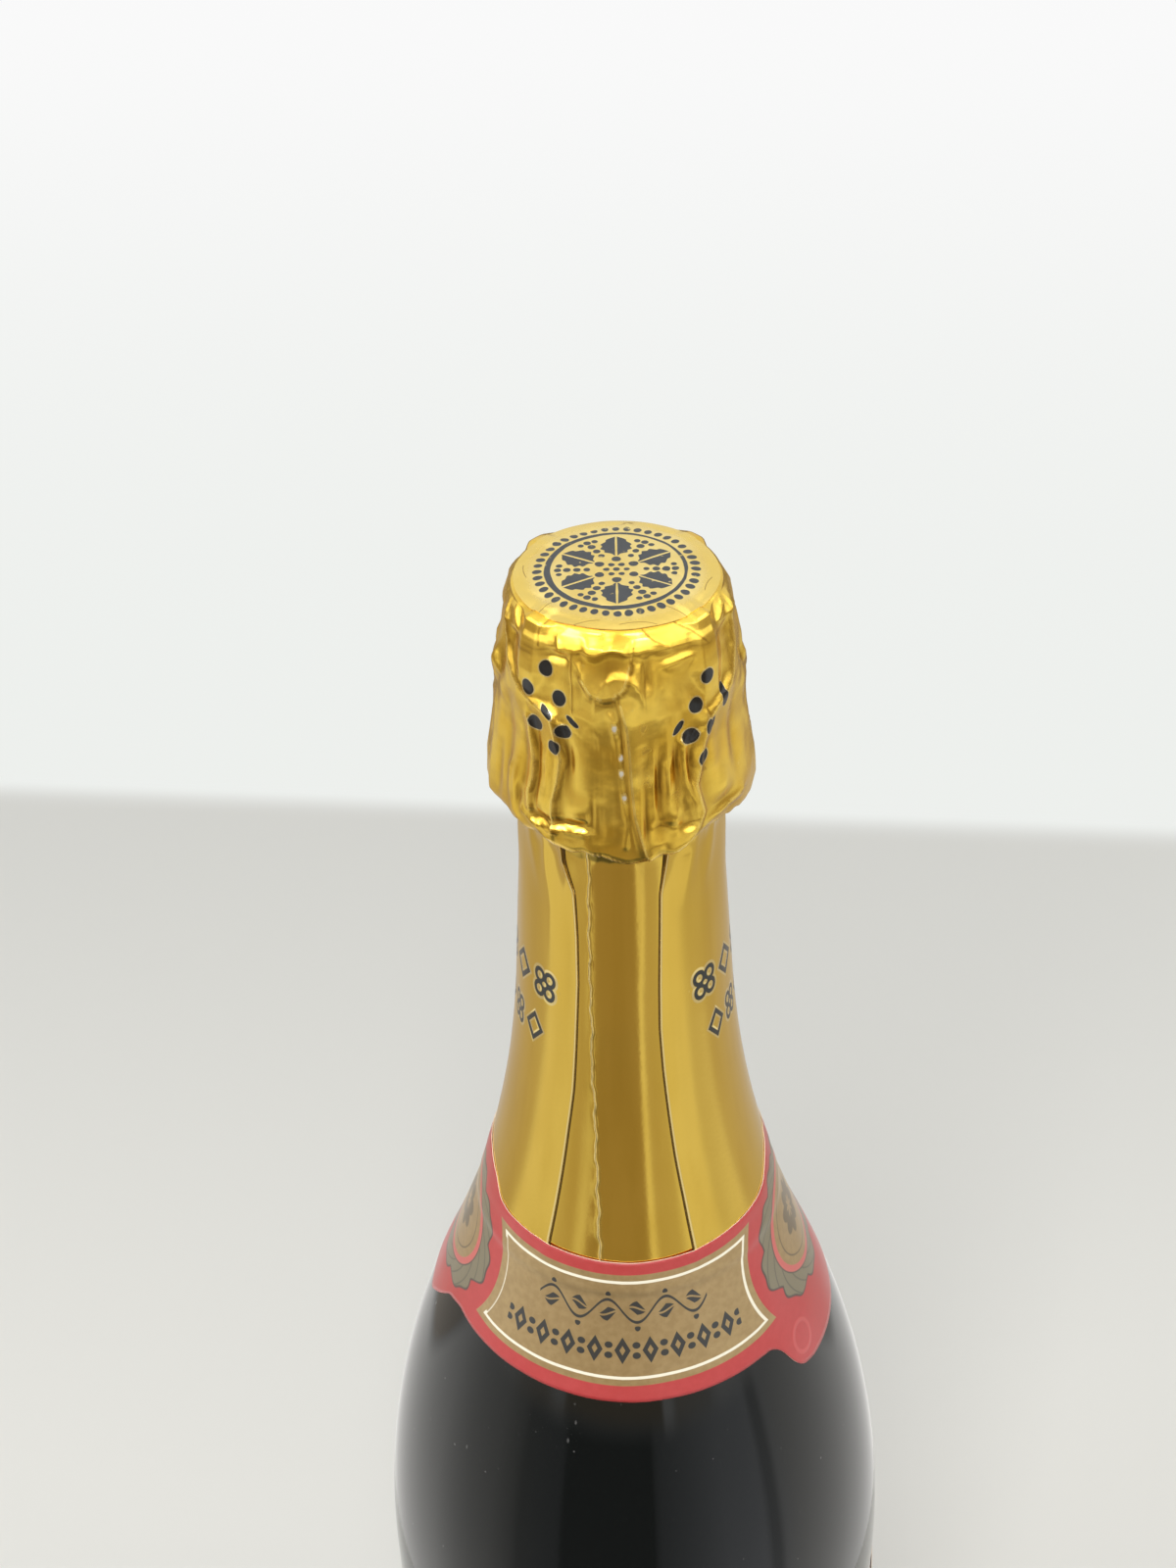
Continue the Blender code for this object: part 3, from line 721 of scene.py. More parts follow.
@dataclass(frozen=True)
class SatinGoldFoil:
    """Satin gold neck foil with rows of dark ornaments on both sides."""

    color: Color = (0.80, 0.55, 0.10)
    shade: Color = (0.71, 0.47, 0.07)
    print_color: Color = (0.018, 0.021, 0.019)
    rim_color: Color = (0.86, 0.72, 0.36)
    # The next two colours are painted light: painted shade in the pleat gaps and beside the seam, and a
    # painted highlight on the flap edges and the seam's crest.
    painted_gap_shade: Color = (0.075, 0.036, 0.009)
    bright: Color = (0.93, 0.76, 0.36)
    roughness: float = 0.13

    def row(self, across: Field, down: Field, centre: float, half_height: float, width: float,
            first: Ornament) -> Field:
        """Signed distance-like value of one row of five ornaments, below 0 inside a shape.

        Args:
            across: Millimetres across from the row's middle.
            down: Depth.
            centre: The row's depth.
            half_height: Half the height of a shape.
            width: Width of one cell.
            first: The shape in the middle; the other one alternates with it.

        Returns:
            The value over the surface.
        """
        half_width = width * 0.42
        x, y = across.repeat(width), (down - centre) / half_height
        beside, off = abs(x) / half_width, abs(y)
        lozenge = (beside + off - 1.0).most(0.6 - (beside + off))
        petals = abs(abs(beside - 0.42).hypot(abs(off - 0.42)) - 0.36) - 0.13
        quatrefoil = petals.most(0.17 - x.hypot(y * half_height) / half_width)
        middle = abs(across.repeat(width * 2.0)).below(width / 2.0, 0.001)
        shapes = (lozenge, quatrefoil) if first is Ornament.LOZENGE else (quatrefoil, lozenge)
        shape = shapes[0] * middle + shapes[1] * (1.0 - middle)
        return shape.most(abs(across) - width * 2.5)

    def lines(self, paint: Paint, pleats: Sequence[Table], seam: Table) -> tuple[Field, Field]:
        """Masks of the painted shade and the painted highlights along the pleats and the seam.

        Args:
            paint: The material.
            pleats: The left and the right pleat as (depth, turn) pairs.
            seam: The seam as (depth, turn) pairs.

        Returns:
            The painted-shade mask and the painted-highlight mask.
        """
        turn, depth = paint.turn(), paint.depth()
        millimetres = math.radians(NECK_RADIUS)
        gap = depth.step(40.0, 33.5, 0.07, 0.45)
        wave = (depth * 0.95).sine() * 0.4 + (depth * 2.3 + 1.0).sine() * 0.18
        off = (turn - depth.curve(seam) - wave) * millimetres
        # Painted shade just beside the seam's ridge, and a painted highlight along its crest.
        dark = abs(off - 0.3).below(0.12, 0.12) * 0.35
        light = abs(off).below(0.13, 0.06)
        for table, side in zip(pleats, (1.0, -1.0)):
            inward = (turn - depth.curve(table)) * side * millimetres
            # Painted shade in each pleat's gap, wider at its open top, and a painted highlight on the rolled
            # edge of the flap over it.
            dark = dark.most(abs(inward - gap).below(gap, 0.04))
            light = light.most(abs(inward + 0.16).below(0.14, 0.08))
        return dark, light

    def material(self, pleats: Sequence[Table], seam: Table) -> Material:
        """Build the material.

        Args:
            pleats: The left and the right pleat as (depth, turn) pairs.
            seam: The seam as (depth, turn) pairs.

        Returns:
            The material.
        """
        paint = Paint("satin_gold_foil")
        turn, depth = paint.turn(), paint.depth()
        radius = paint.x.hypot(paint.y) * 1000.0
        across = (abs(turn) - 90.0) * radius * math.radians(1.0)
        rows = self.row(across, depth, 63.2, 3.0, 5.9, Ornament.QUATREFOIL)
        rows = rows.least(self.row(across, depth, 72.4, 2.9, 5.0, Ornament.LOZENGE))
        ink = rows.below(0.0, 0.03)
        rim = rows.below(0.16, 0.04) * (1.0 - ink)
        streak = paint.noise(260.0, 3.0, paint.stretched((1.0, 1.0, 0.03)))
        cloud = paint.noise(45.0, 3.0)
        shade = streak.step(0.35, 0.7) * 0.5 + cloud.step(0.35, 0.7) * 0.3
        dark, light = self.lines(paint, pleats, seam)
        grain = paint.noise(1500.0, 2.0)
        relief = (1.0 - rows.below(0.1, 0.12)) * 0.5 + grain * 0.05 + cloud * 0.45 + light * 0.3 - dark * 0.4
        return paint.surface(
            # The colour carries painted highlights on the flap edges and the seam, and painted shade in the
            # pleat gaps and beside the seam.
            Base_Color=paint.layers(
                self.color, (shade, self.shade), (rim * 0.7, self.rim_color), (light * 0.75, self.bright),
                (dark * 0.92, self.painted_gap_shade), (ink, self.print_color),
            ),
            Metallic=1.0 - ink * 0.85 - dark * 0.5 * (1.0 - ink),
            Roughness=streak * 0.06 + cloud * 0.05 + ink * 0.1 + light * 0.12 + (self.roughness - 0.05),
            Normal=paint.bump(relief, 0.00012),
        )


@dataclass(frozen=True)
class BrightGoldFoil:
    """Bright crumpled foil with glossy black dots, each with a light rim."""

    color: Color = (0.90, 0.63, 0.105)
    warm: Color = (0.80, 0.51, 0.06)
    # Pale colour for real wear at the rim and on rubbed spots, and for painted highlights along the sharp
    # crests.
    pale: Color = (0.86, 0.70, 0.30)
    dot_color: Color = (0.009, 0.009, 0.008)
    rim_color: Color = (0.66, 0.55, 0.30)
    stain_color: Color = (0.16, 0.08, 0.02)
    # Painted shade colour, laid on where the hollow attribute is high.
    deep: Color = (0.30, 0.145, 0.014)
    bare: Color = (0.78, 0.77, 0.73)

    def material(self) -> Material:
        """Build the material.

        Returns:
            The material.
        """
        paint = Paint("bright_gold_foil")
        dots = paint.value("dots")
        ink = dots.below(1.0, 0.045)
        rim = dots.below(1.14, 0.04) * (1.0 - ink)
        cloud = paint.noise(85.0, 4.0)
        fine = paint.noise(620.0, 4.0)
        specks = (paint.grains(420.0) + paint.noise(120.0, 1.0) * 0.2).below(0.17, 0.03)
        # Real wear at the rim and on rubbed spots, together with painted highlights along the sharp crests.
        wear_and_crest_highlight = paint.value("wear_and_crest_highlight")
        stain = (paint.value("stain") * 0.6 + paint.noise(1500.0, 4.0)).step(0.85, 1.15)
        scratch = paint.noise(900.0, 2.0, paint.stretched((1.0, 1.0, 0.12)))
        crumple = paint.noise(240.0, 1.5) * 0.4 + paint.noise(110.0, 2.0) * 0.6
        relief = fine * 0.06 + cloud * 0.4 + scratch * 0.06 + crumple
        return paint.surface(
            Base_Color=paint.layers(
                self.color, (cloud.step(0.38, 0.66), self.warm),
                # The pale coat mixes wear with painted crest highlights; the next coat is painted shade from
                # the hollow attribute.
                ((wear_and_crest_highlight * 0.85).most(specks * 0.1), self.pale), (paint.value("hollow") * 0.85, self.deep),
                (stain * 0.55, self.stain_color), (rim * 0.8, self.rim_color),
                (wear_and_crest_highlight.step(0.6, 0.95) * 0.85, self.bare), (ink, self.dot_color),
            ),
            Metallic=1.0 - ink * 0.9 - specks * 0.1,
            Roughness=fine * 0.08 + wear_and_crest_highlight * 0.15 + stain * 0.2 + (1.0 - ink) * 0.08 + 0.11,
            Normal=paint.bump(relief, 0.00042),
        )


@dataclass(frozen=True)
class PrintedDisc:
    """Pale gold foil disc with a ring of dots, a ring line and a leaf-and-berry rosette."""

    color: Color = (0.86, 0.69, 0.27)
    shade: Color = (0.80, 0.60, 0.18)
    edge_color: Color = (0.90, 0.66, 0.15)
    ink_color: Color = (0.022, 0.026, 0.03)
    # Painted shade colour for the thin pressed lines.
    painted_crease_shade: Color = (0.20, 0.105, 0.02)
    creases: tuple[tuple[float, ...], ...] = (
        (-9.6, -8.6, 52, 2.6), (-4.2, -12, 14, 1.9), (2.6, -12.2, 2, 2.4), (8.2, -9.9, -38, 2.2),
        (11.7, -3.2, 71, 1.7), (-12.2, 0.6, 98, 1.6),
    )
    berries: tuple[tuple[float, ...], ...] = (
        (7.7, 0.5, 30), (7.6, 0.42, 22), (7.6, 0.42, 38), (6.5, 0.55, 30), (2.6, 0.62, 0), (5.2, 0.5, 30),
        (3.9, 0.42, 30), (1.35, 0.42, 30),
    )
    dot_ring: float = 10.4
    dot_count: int = 44
    line_ring: float = 9.1

    def crease(self, x: Field, y: Field, line: tuple[float, ...]) -> Field:
        """One thin pressed line near the edge.

        Args:
            x: Millimetres across the disc.
            y: Millimetres along it.
            line: The line's middle, lean and half length.

        Returns:
            Below 0 in the line.
        """
        mid_x, mid_y, lean, half = line
        x, y, angle = x - mid_x, y - mid_y, math.radians(lean)
        along = x * math.cos(angle) + y * math.sin(angle)
        off = y * math.cos(angle) - x * math.sin(angle) + along * along * 0.07
        return (abs(along) - half).most(abs(off) - 0.05)

    def material(self) -> Material:
        """Build the material.

        Returns:
            The material.
        """
        paint = Paint("printed_pale_gold_disc")
        x, y = paint.x * 1000.0, paint.y * 1000.0
        radius, turn = x.hypot(y), paint.turn()
        per_degree = radius * math.radians(1.0)
        dot_x = turn.repeat(360.0 / self.dot_count) * math.radians(self.dot_ring)
        dots = dot_x.hypot((radius - self.dot_ring) * 0.8) - 0.52
        heavy = abs((turn + 60.0).repeat(360.0)).step(60.0, 150.0, 0.42, 0.24)
        line = abs(radius - self.line_ring) - heavy
        leaf_along = (radius - 5.9) / 2.5
        leaf_half = (1.0 - leaf_along * leaf_along) * 2.05 + (radius * 6.0).sine() * 0.16
        leaf_off = abs(turn.repeat(60.0) * per_degree)
        leaf = (leaf_off - leaf_half).most(0.13 - leaf_off)
        berries = [((turn + shift).repeat(60.0) * per_degree).hypot(radius - ring) - size
                   for ring, size, shift in self.berries]
        marks = reduce(Field.least, (dots, line, leaf, radius - 0.45, *berries))
        wobble = paint.noise(420.0, 2.0) * 0.24 - 0.12
        missing = paint.noise(800.0, 3.0).step(0.66, 0.76)
        ink = (marks + wobble).below(0.0, 0.05) * (1.0 - missing * 0.7)
        cloud = paint.noise(110.0, 4.0)
        edge = radius.step(10.9, 12.6)
        # Painted shade along thin pressed lines near the edge.
        crease = reduce(Field.least, [self.crease(x, y, line) for line in self.creases]).below(0.0, 0.07)
        ink_tone = paint.mix(paint.noise(500.0, 2.0), self.ink_color, (0.045, 0.05, 0.056))
        relief = ink * -0.4 + paint.noise(900.0, 3.0) * 0.12 + cloud * 0.5
        return paint.surface(
            Base_Color=paint.layers(
                self.color, (cloud.step(0.35, 0.7), self.shade), (edge * 0.75, self.edge_color),
                (crease * 0.75, self.painted_crease_shade), (ink, ink_tone),
            ),
            Metallic=0.92 - ink * 0.85,
            Roughness=paint.noise(700.0) * 0.12 + ink * 0.12 - edge * 0.07 + 0.25,
            Normal=paint.bump(relief, 0.00012),
        )


@dataclass(frozen=True)
class CollarPaper:
    """Printed collar paper: red ground, dull gold panel, cream line, ornaments and medallions."""

    red: Color = (0.46, 0.026, 0.025)
    gold: Color = (0.36, 0.24, 0.097)
    gold_light: Color = (0.45, 0.315, 0.14)
    cream: Color = (0.90, 0.84, 0.66)
    ink: Color = (0.022, 0.022, 0.02)
    ring: Color = (0.60, 0.115, 0.10)
    scroll: Color = (0.20, 0.17, 0.10)
    panel_turn: float = -3.0
    panel_depth: float = 121.5
    medallion_depth: float = 121.0
    millimetres_per_degree: float = 0.415

    def scroll_row(self, across: Field, off: Field) -> Field:
        """A light running vine: a waved stem with a leaf in each bend.

        Args:
            across: Millimetres across.
            off: Millimetres below the row's middle.

        Returns:
            Below 0 inside the ornament.
        """
        wave = (across * (2.0 * math.pi / 8.6)).sine()
        stem = abs(off - wave * 1.9) - 0.25
        x = (across + 2.15).repeat(4.3)
        lean = abs(off + wave * 0.55 - x * wave * 0.5)
        leaf = (abs(x) * 0.5 + lean * 0.85 + x * x * 0.18 - 1.0).most(0.16 - lean)
        bud = x.hypot(off - wave * 3.0) - 0.42
        return stem.least(leaf).least(bud)

    def bar_row(self, across: Field, off: Field) -> Field:
        """A heavier row of upright lozenges and small dots.

        Args:
            across: Millimetres across.
            off: Millimetres below the row's middle.

        Returns:
            Below 0 inside the ornament.
        """
        x = across.repeat(3.8)
        size = abs(x) * 1.25 + abs(off) * 0.62
        lozenge = (size - 1.38).most(0.5 - size)
        dots = (across + 1.9).repeat(3.8).hypot(abs(off) - 0.85) - 0.55
        return lozenge.least(dots)

    def medallion(self, turn: Field, depth: Field) -> tuple[Field, Field, Field, Field, Field]:
        """Masks of the side medallions.

        Args:
            turn: Degrees round the bottle, from the panel's middle.
            depth: Depth.

        Returns:
            Masks of the wreath, its dark outline, the ring, the field inside and its figure.
        """
        x = (abs(turn) - 90.0) * self.millimetres_per_degree
        y = depth - self.medallion_depth
        size = (x / 9.6).hypot(y / 8.6)
        angle = y.math("ARCTAN2", x)
        curl = abs((angle * 4.5 + 0.6).sine()) * 0.13 + (angle * 18.0).sine() * 0.03
        outer = size - 1.33 - curl
        wreath = outer.below(0.0, 0.012)
        edge = abs(outer).below(0.02, 0.014)
        swirl = (angle * 9.0 + (size - 1.1) * 15.0).sine()
        lines = abs(swirl).below(0.2, 0.12) * wreath
        outline = edge.most(lines * 0.6).most(abs(size - 1.07).below(0.012, 0.012))
        ring = size.below(1.06, 0.012)
        field = size.below(0.955, 0.012)
        rosette = size - 0.36 - abs((angle * 4.0).sine()) * 0.13
        figure = rosette.below(0.0, 0.02) * (1.0 - (rosette + 0.3).below(0.0, 0.02))
        return wreath, outline, ring, field, figure.most(abs(size - 0.8).below(0.013, 0.012))

    def material(self) -> Material:
        """Build the material.

        Returns:
            The material.
        """
        paint = Paint("collar_paper")
        turn, depth = paint.turn(), paint.depth()
        bowed = turn - self.panel_turn
        across = bowed * self.millimetres_per_degree
        head = abs(bowed).curve(((0.0, 109.8), (30.0, 109.5), (47.0, 109.2), (62.0, 108.6), (90.0, 107.0)))
        foot = abs(bowed).curve(((0.0, 133.3), (30.0, 132.9), (47.0, 132.5), (62.0, 131.6), (90.0, 130.0)))
        down, up = depth - head, foot - depth
        waist = (depth - self.panel_depth) / 9.5
        flank = 50.2 + waist * waist * 6.0 + waist * 1.52
        beside = (flank - abs(bowed)) * self.millimetres_per_degree
        inset = down.least(up - 0.6).least(beside + 2.2)
        panel = inset.step(2.0, 2.12)
        left = (bowed + flank - 3.0).below(0.0, 0.4) * down.step(4.0, 4.4) * up.step(4.4, 4.8)
        line = abs(inset - 3.35).below(0.24, 0.05) * (1.0 - left)
        scroll = self.scroll_row(across, down - 8.4).most(abs(across) - 12.9)
        bars = self.bar_row(across, down - 15.0).most(abs(across) - 17.4)
        ink = scroll.least(bars).below(0.0, 0.05) * abs(bowed).step(100.0, 101.0, 1.0, 0.0)
        wreath, outline, ring, field, figure = self.medallion(bowed, depth)
        fibre = paint.noise(900.0, 4.0)
        cloud = paint.noise(60.0, 3.0)
        gold = paint.mix(fibre.step(0.3, 0.7) * 0.6 + cloud * 0.3, self.gold, self.gold_light)
        ring_mark = abs(((turn - 60.5) * 0.6).hypot(depth - 136.2) - 2.6).below(0.35, 0.2)
        ground = 1.0 - panel
        metal = (panel * (1.0 - line) * (1.0 - ink)).most(field)
        medal = wreath * 0.25 + ring * 0.2 - field * 0.15
        relief = ring_mark * 0.5 + fibre * 0.12 + medal + ink * 0.12 + cloud * 0.3
        return paint.surface(
            Base_Color=paint.layers(
                self.red, (fibre.step(0.3, 0.75) * 0.3, (0.56, 0.05, 0.05)), (panel, gold),
                (line, self.cream), (ink, self.ink), (wreath * ground, self.scroll),
                (outline * ground * 0.85, (0.03, 0.026, 0.02)), (ring, self.ring), (field, gold),
                (figure * field * 0.7, (0.06, 0.05, 0.03)), (ring_mark * 0.3, (0.72, 0.14, 0.13)),
            ),
            Metallic=metal * 0.5,
            Roughness=fibre * 0.1 + 0.36 - metal * 0.06,
            Coat_Weight=0.5,
            Coat_Roughness=0.28,
            Normal=paint.bump(relief, 0.00008),
        )


@dataclass(frozen=True)
class PaperEdge:
    """The light cut edge of label paper."""

    color: Color = (0.80, 0.66, 0.52)

    def material(self) -> Material:
        """Build the material.

        Returns:
            The material.
        """
        paint = Paint("paper_cut_edge")
        tone = paint.mix(paint.noise(1200.0), self.color, (0.9, 0.8, 0.68))
        return paint.surface(Base_Color=tone, Roughness=0.8)


@dataclass(frozen=True)
class FrontPaper:
    """Front label: cream paper, red and dull gold frames, a plain lozenge ornament and rules."""

    cream: Color = (0.80, 0.72, 0.53)
    gold: Color = (0.36, 0.24, 0.09)
    red: Color = (0.52, 0.035, 0.045)
    ink: Color = (0.03, 0.028, 0.025)
    radius: float = 44.16
    width: float = 82.0
    height: float = 78.0
    middle_z: float = 67.0
    ornament_up: float = 14.0

    def material(self) -> Material:
        """Build the material.

        Returns:
            The material.
        """
        paint = Paint("front_label_paper")
        across = paint.y.math("ARCTAN2", paint.x) * self.radius
        up = paint.z * 1000.0 - self.middle_z
        edge = (self.width / 2.0 - abs(across)).least(self.height / 2.0 - abs(up))
        fibre = paint.noise(700.0, 5.0)
        gold_band = abs(edge - 4.6).below(0.75)
        above = up - self.ornament_up
        size = abs(across) / 15.0 + abs(above) / 11.0
        petal = across.hypot(above)
        star = petal - 4.2 - (above.math("ARCTAN2", across) * 8.0).sine() * 0.9
        rules = [abs(up + down).below(half) for down, half in ((8.0, 0.5), (11.0, 0.2), (24.0, 0.35))]
        rule = reduce(Field.most, rules) * abs(across).below(27.0)
        bead = across.repeat(4.0).hypot(up + 17.5).below(1.25) * abs(across).below(24.0)
        ink = rule.most(bead)
        return paint.surface(
            Base_Color=paint.layers(
                self.cream, (fibre.step(0.3, 0.7), (0.88, 0.81, 0.63)), (edge.below(3.2), self.red),
                (gold_band, self.gold), (abs(edge - 6.3).below(0.18), self.red),
                (size.below(1.0, 0.01), self.gold), (abs(size - 0.86).below(0.025, 0.01), self.cream),
                (star.below(0.0, 0.08), self.red), (petal.below(1.6, 0.08), self.cream), (ink, self.ink),
            ),
            Metallic=gold_band * 0.3,
            Roughness=fibre * 0.12 + 0.42,
            Normal=paint.bump(fibre * 0.2 + ink * 0.1 + gold_band * 0.3, 0.00008),
        )


@dataclass(frozen=True)
class PressedCork:
    """Agglomerate cork: pressed granules with dark gaps."""

    light: Color = (0.56, 0.36, 0.18)
    dark: Color = (0.30, 0.16, 0.07)

    def material(self) -> Material:
        """Build the material.

        Returns:
            The material.
        """
        paint = Paint("pressed_cork_grain")
        warp = paint.noise(500.0, 2.0)
        tone = paint.node("SeparateXYZ", {}, {0: paint.grains(520.0, output="Color")})
        edge = paint.grains(520.0, "DISTANCE_TO_EDGE") + warp * 0.06
        color = paint.layers(
            self.light, (tone, (0.68, 0.47, 0.26)), (tone.step(0.75, 0.95) * 0.8, self.dark),
            (edge.below(0.055, 0.03) * 0.75, (0.13, 0.07, 0.035)),
        )
        relief = edge.step(0.0, 0.2) * 0.7 + paint.noise(1400.0, 3.0) * 0.3
        return paint.surface(Base_Color=color, Roughness=0.86, Normal=paint.bump(relief, 0.00025))


@dataclass(frozen=True)
class NaturalCork:
    """Natural cork cut across its bark: fine lines and dark lenticels."""

    light: Color = (0.60, 0.41, 0.22)
    line: Color = (0.42, 0.25, 0.12)

    def material(self) -> Material:
        """Build the material.

        Returns:
            The material.
        """
        paint = Paint("natural_cork")
        streak = paint.noise(300.0, 4.0, paint.stretched((1.0, 0.12, 1.0)))
        pores = paint.grains(420.0, spot=paint.stretched((0.8, 0.3, 1.0))) + streak * 0.2
        pores = pores.below(0.24, 0.05)
        bark = (streak.step(0.35, 0.68), self.line)
        color = paint.layers(self.light, bark, (pores * 0.85, (0.11, 0.055, 0.03)))
        relief = streak * 0.3 - pores * 0.6 + paint.noise(1200.0) * 0.2
        return paint.surface(Base_Color=color, Roughness=0.8, Normal=paint.bump(relief, 0.0002))


@dataclass(frozen=True)
class LacqueredPlate:
    """Gold lacquered tinplate with a stamped ring and fine scuffs."""

    color: Color = (0.70, 0.50, 0.19)
    wear: Color = (0.62, 0.60, 0.55)

    def material(self) -> Material:
        """Build the material.

        Returns:
            The material.
        """
        paint = Paint("lacquered_tinplate")
        radius = paint.x.hypot(paint.y) * 1000.0
        scuff = paint.noise(520.0, 5.0).step(0.62, 0.74)
        band = abs(radius - 6.2).below(0.35).most(abs(radius - 8.1).below(0.16))
        color = paint.layers(self.color, (scuff * 0.5, self.wear), (band * 0.8, (0.36, 0.05, 0.05)))
        relief = abs(radius - 3.4).step(0.0, 0.8) * 0.4 + paint.noise(900.0) * 0.1
        return paint.surface(
            Base_Color=color,
            Metallic=0.95 - band * 0.7,
            Roughness=scuff * 0.2 + 0.24,
            Coat_Weight=0.3,
            Normal=paint.bump(relief, 0.0003),
        )


@dataclass(frozen=True)
class GalvanisedWire:
    """Drawn galvanised wire with fine length marks and dull spots."""

    color: Color = (0.56, 0.56, 0.56)
    dull: Color = (0.38, 0.38, 0.385)

    def material(self) -> Material:
        """Build the material.

        Returns:
            The material.
        """
        paint = Paint("galvanised_wire")
        spots = paint.noise(1300.0, 3.0)
        relief = spots * 0.4 + paint.grains(700.0) * 0.3
        return paint.surface(
            Base_Color=paint.mix(spots.step(0.4, 0.7), self.color, self.dull),
            Metallic=1.0,
            Roughness=spots * 0.25 + 0.24,
            Normal=paint.bump(relief, 0.00005),
        )


# Pieces

def arc(centre: Point, radius: float, start_deg: float, end_deg: float, steps: int) -> list[Point]:
    """Points on an arc in the (radius, height) plane.

    Args:
        centre: The arc's centre.
        radius: Its radius.
        start_deg: Angle of its first point.
        end_deg: Angle of its last point.
        steps: Steps between them.

    Returns:
        The points, first and last included.
    """
    angles = np.radians(np.linspace(start_deg, end_deg, steps + 1))
    return [(centre[0] + radius * math.cos(a), centre[1] + radius * math.sin(a)) for a in angles]


@dataclass
class GlassBottle:
    """The glass: body, sloping shoulder, long neck, bead and lip, bore, heel and punt."""

    body_radius: float = 44.0
    body_height: float = 117.0
    shoulder_arc: float = 185.0
    neck_arc: float = 203.0
    neck_half_angle: float = 3.44
    cone_length: float = 38.2
    neck_top_radius: float = 13.5
    heel_radius: float = 7.0
    ring_width: float = 5.2
    punt_depth: float = 36.0
    wall: float = 5.2
    floor: float = 9.0
    inner_heel: float = 6.0
    bore: float = 9.0
    inner_neck_arc: float = 185.0
    undercut: float = 0.6
    bead_radius: float = 14.4
    bead_height: float = 8.6
    bead_round: float = 0.9
    lip_radius: float = 13.6
    lip_height: float = 2.4
    lip_round: float = 0.8
    sides: int = 192

    def bend(self, line_radius: float, half_angle: float, neck_arc: float, shoulder: float) -> Point:
        """Centre of the concave arc between a neck line and a shoulder arc.

        Args:
            line_radius: Radius at the neck line's foot.
            half_angle: How far the line leans, in radians.
            neck_arc: Radius of the concave arc.
            shoulder: Radius of the shoulder arc.

        Returns:
            The centre as (radius, height).
        """
        bend_r = line_radius + neck_arc * math.cos(half_angle)
        centre_r = self.body_radius - self.shoulder_arc
        rise = math.sqrt((shoulder + neck_arc) ** 2 - (bend_r - centre_r) ** 2)
        return bend_r, self.body_height + rise

    def levels(self) -> tuple[Point, float, float]:
        """The neck arc's centre, and the heights of the cone's foot and of the neck's top.

        Returns:
            The centre, then the two heights.
        """
        half = math.radians(self.neck_half_angle)
        foot_radius = self.neck_top_radius + self.cone_length * math.sin(half)
        bend = self.bend(foot_radius, half, self.neck_arc, self.shoulder_arc)
        foot_z = bend[1] - self.neck_arc * math.sin(half)
        return bend, foot_z, foot_z + self.cone_length * math.cos(half)

    def radius(self, z: Array) -> Array:
        """Outside radius of the glass at heights below the bead.

        Args:
            z: Heights.

        Returns:
            The radius at each height.
        """
        bend, foot_z, top_z = self.levels()
        centre_r = self.body_radius - self.shoulder_arc
        slope = math.tan(math.radians(self.neck_half_angle))
        cone = self.neck_top_radius + (top_z - z) * slope
        concave = bend[0] - np.sqrt(np.maximum(self.neck_arc**2 - (z - bend[1]) ** 2, 0.0))
        rise = np.maximum(z - self.body_height, 0.0)
        convex = centre_r + np.sqrt(self.shoulder_arc**2 - rise**2)
        turn = math.atan2(bend[1] - self.body_height, bend[0] - centre_r)
        turning_z = self.body_height + self.shoulder_arc * math.sin(turn)
        return np.where(z >= foot_z, cone, np.where(z >= turning_z, concave, convex))

    def outline(self) -> list[Point]:
        """Closed outline from the floor's middle, up inside, over the lip and down outside.

        Returns:
            The outline's points.
        """
        inner_r = self.body_radius - self.wall
        floor_r = inner_r - self.inner_heel
        rise = np.linspace(0.0, 1.0, 10)
        floor = [(floor_r * s, self.floor + self.punt_depth * (1.0 - s**1.5)) for s in rise]
        heel = arc((floor_r, self.floor + self.inner_heel), self.inner_heel, -90.0, 0.0, 5)
        inner_shoulder = self.shoulder_arc - self.wall
        bend = self.bend(self.bore, 0.0, self.inner_neck_arc, inner_shoulder)
        centre = (self.body_radius - self.shoulder_arc, self.body_height)
        turn = math.degrees(math.atan2(bend[1] - centre[1], bend[0] - centre[0]))
        inside = arc(centre, inner_shoulder, 0.0, turn, 14)
        inside += arc(bend, self.inner_neck_arc, 180.0 + turn, 180.0, 12)[1:]
        _, _, neck_z = self.levels()
        bead_z = neck_z + self.undercut
        lip_z = bead_z + self.bead_height + self.lip_height
        lip = arc((self.bore + self.lip_round, lip_z - self.lip_round), self.lip_round, 180.0, 90.0, 4)
        lip += arc((self.lip_radius - self.lip_round, lip_z - self.lip_round), self.lip_round, 90.0, 0.0, 4)
        round_r = self.bead_radius - self.bead_round
        bead = [(self.lip_radius, bead_z + self.bead_height)]
        bead += arc((round_r, bead_z + self.bead_height - self.bead_round), self.bead_round, 30.0, 0.0, 2)
        bead += arc((round_r, bead_z + self.bead_round), self.bead_round, 0.0, -90.0, 4)
        heights = np.concatenate([np.linspace(neck_z, self.body_height, 96), [95.0, 70.0, 45.0, 20.0]])
        outside = list(zip(self.radius(heights).tolist(), heights.tolist()))
        foot = arc((self.body_radius - self.heel_radius, self.heel_radius), self.heel_radius, 0.0, -90.0, 9)
        ring_r = self.body_radius - self.heel_radius - self.ring_width
        fall = np.linspace(1.0, 0.0, 16)
        punt = [(ring_r * s, self.punt_depth * (1.0 - s**1.5)) for s in fall]
        return floor + heel[1:] + inside + lip + bead + outside + foot + punt

    def build(self) -> None:
        """Build and dress the glass."""
        obj = spun("dark_glass", self.outline(), self.sides)
        dress(obj, "bottle", "bottle_glass", ["glass_bottle"], DarkGlass().material())


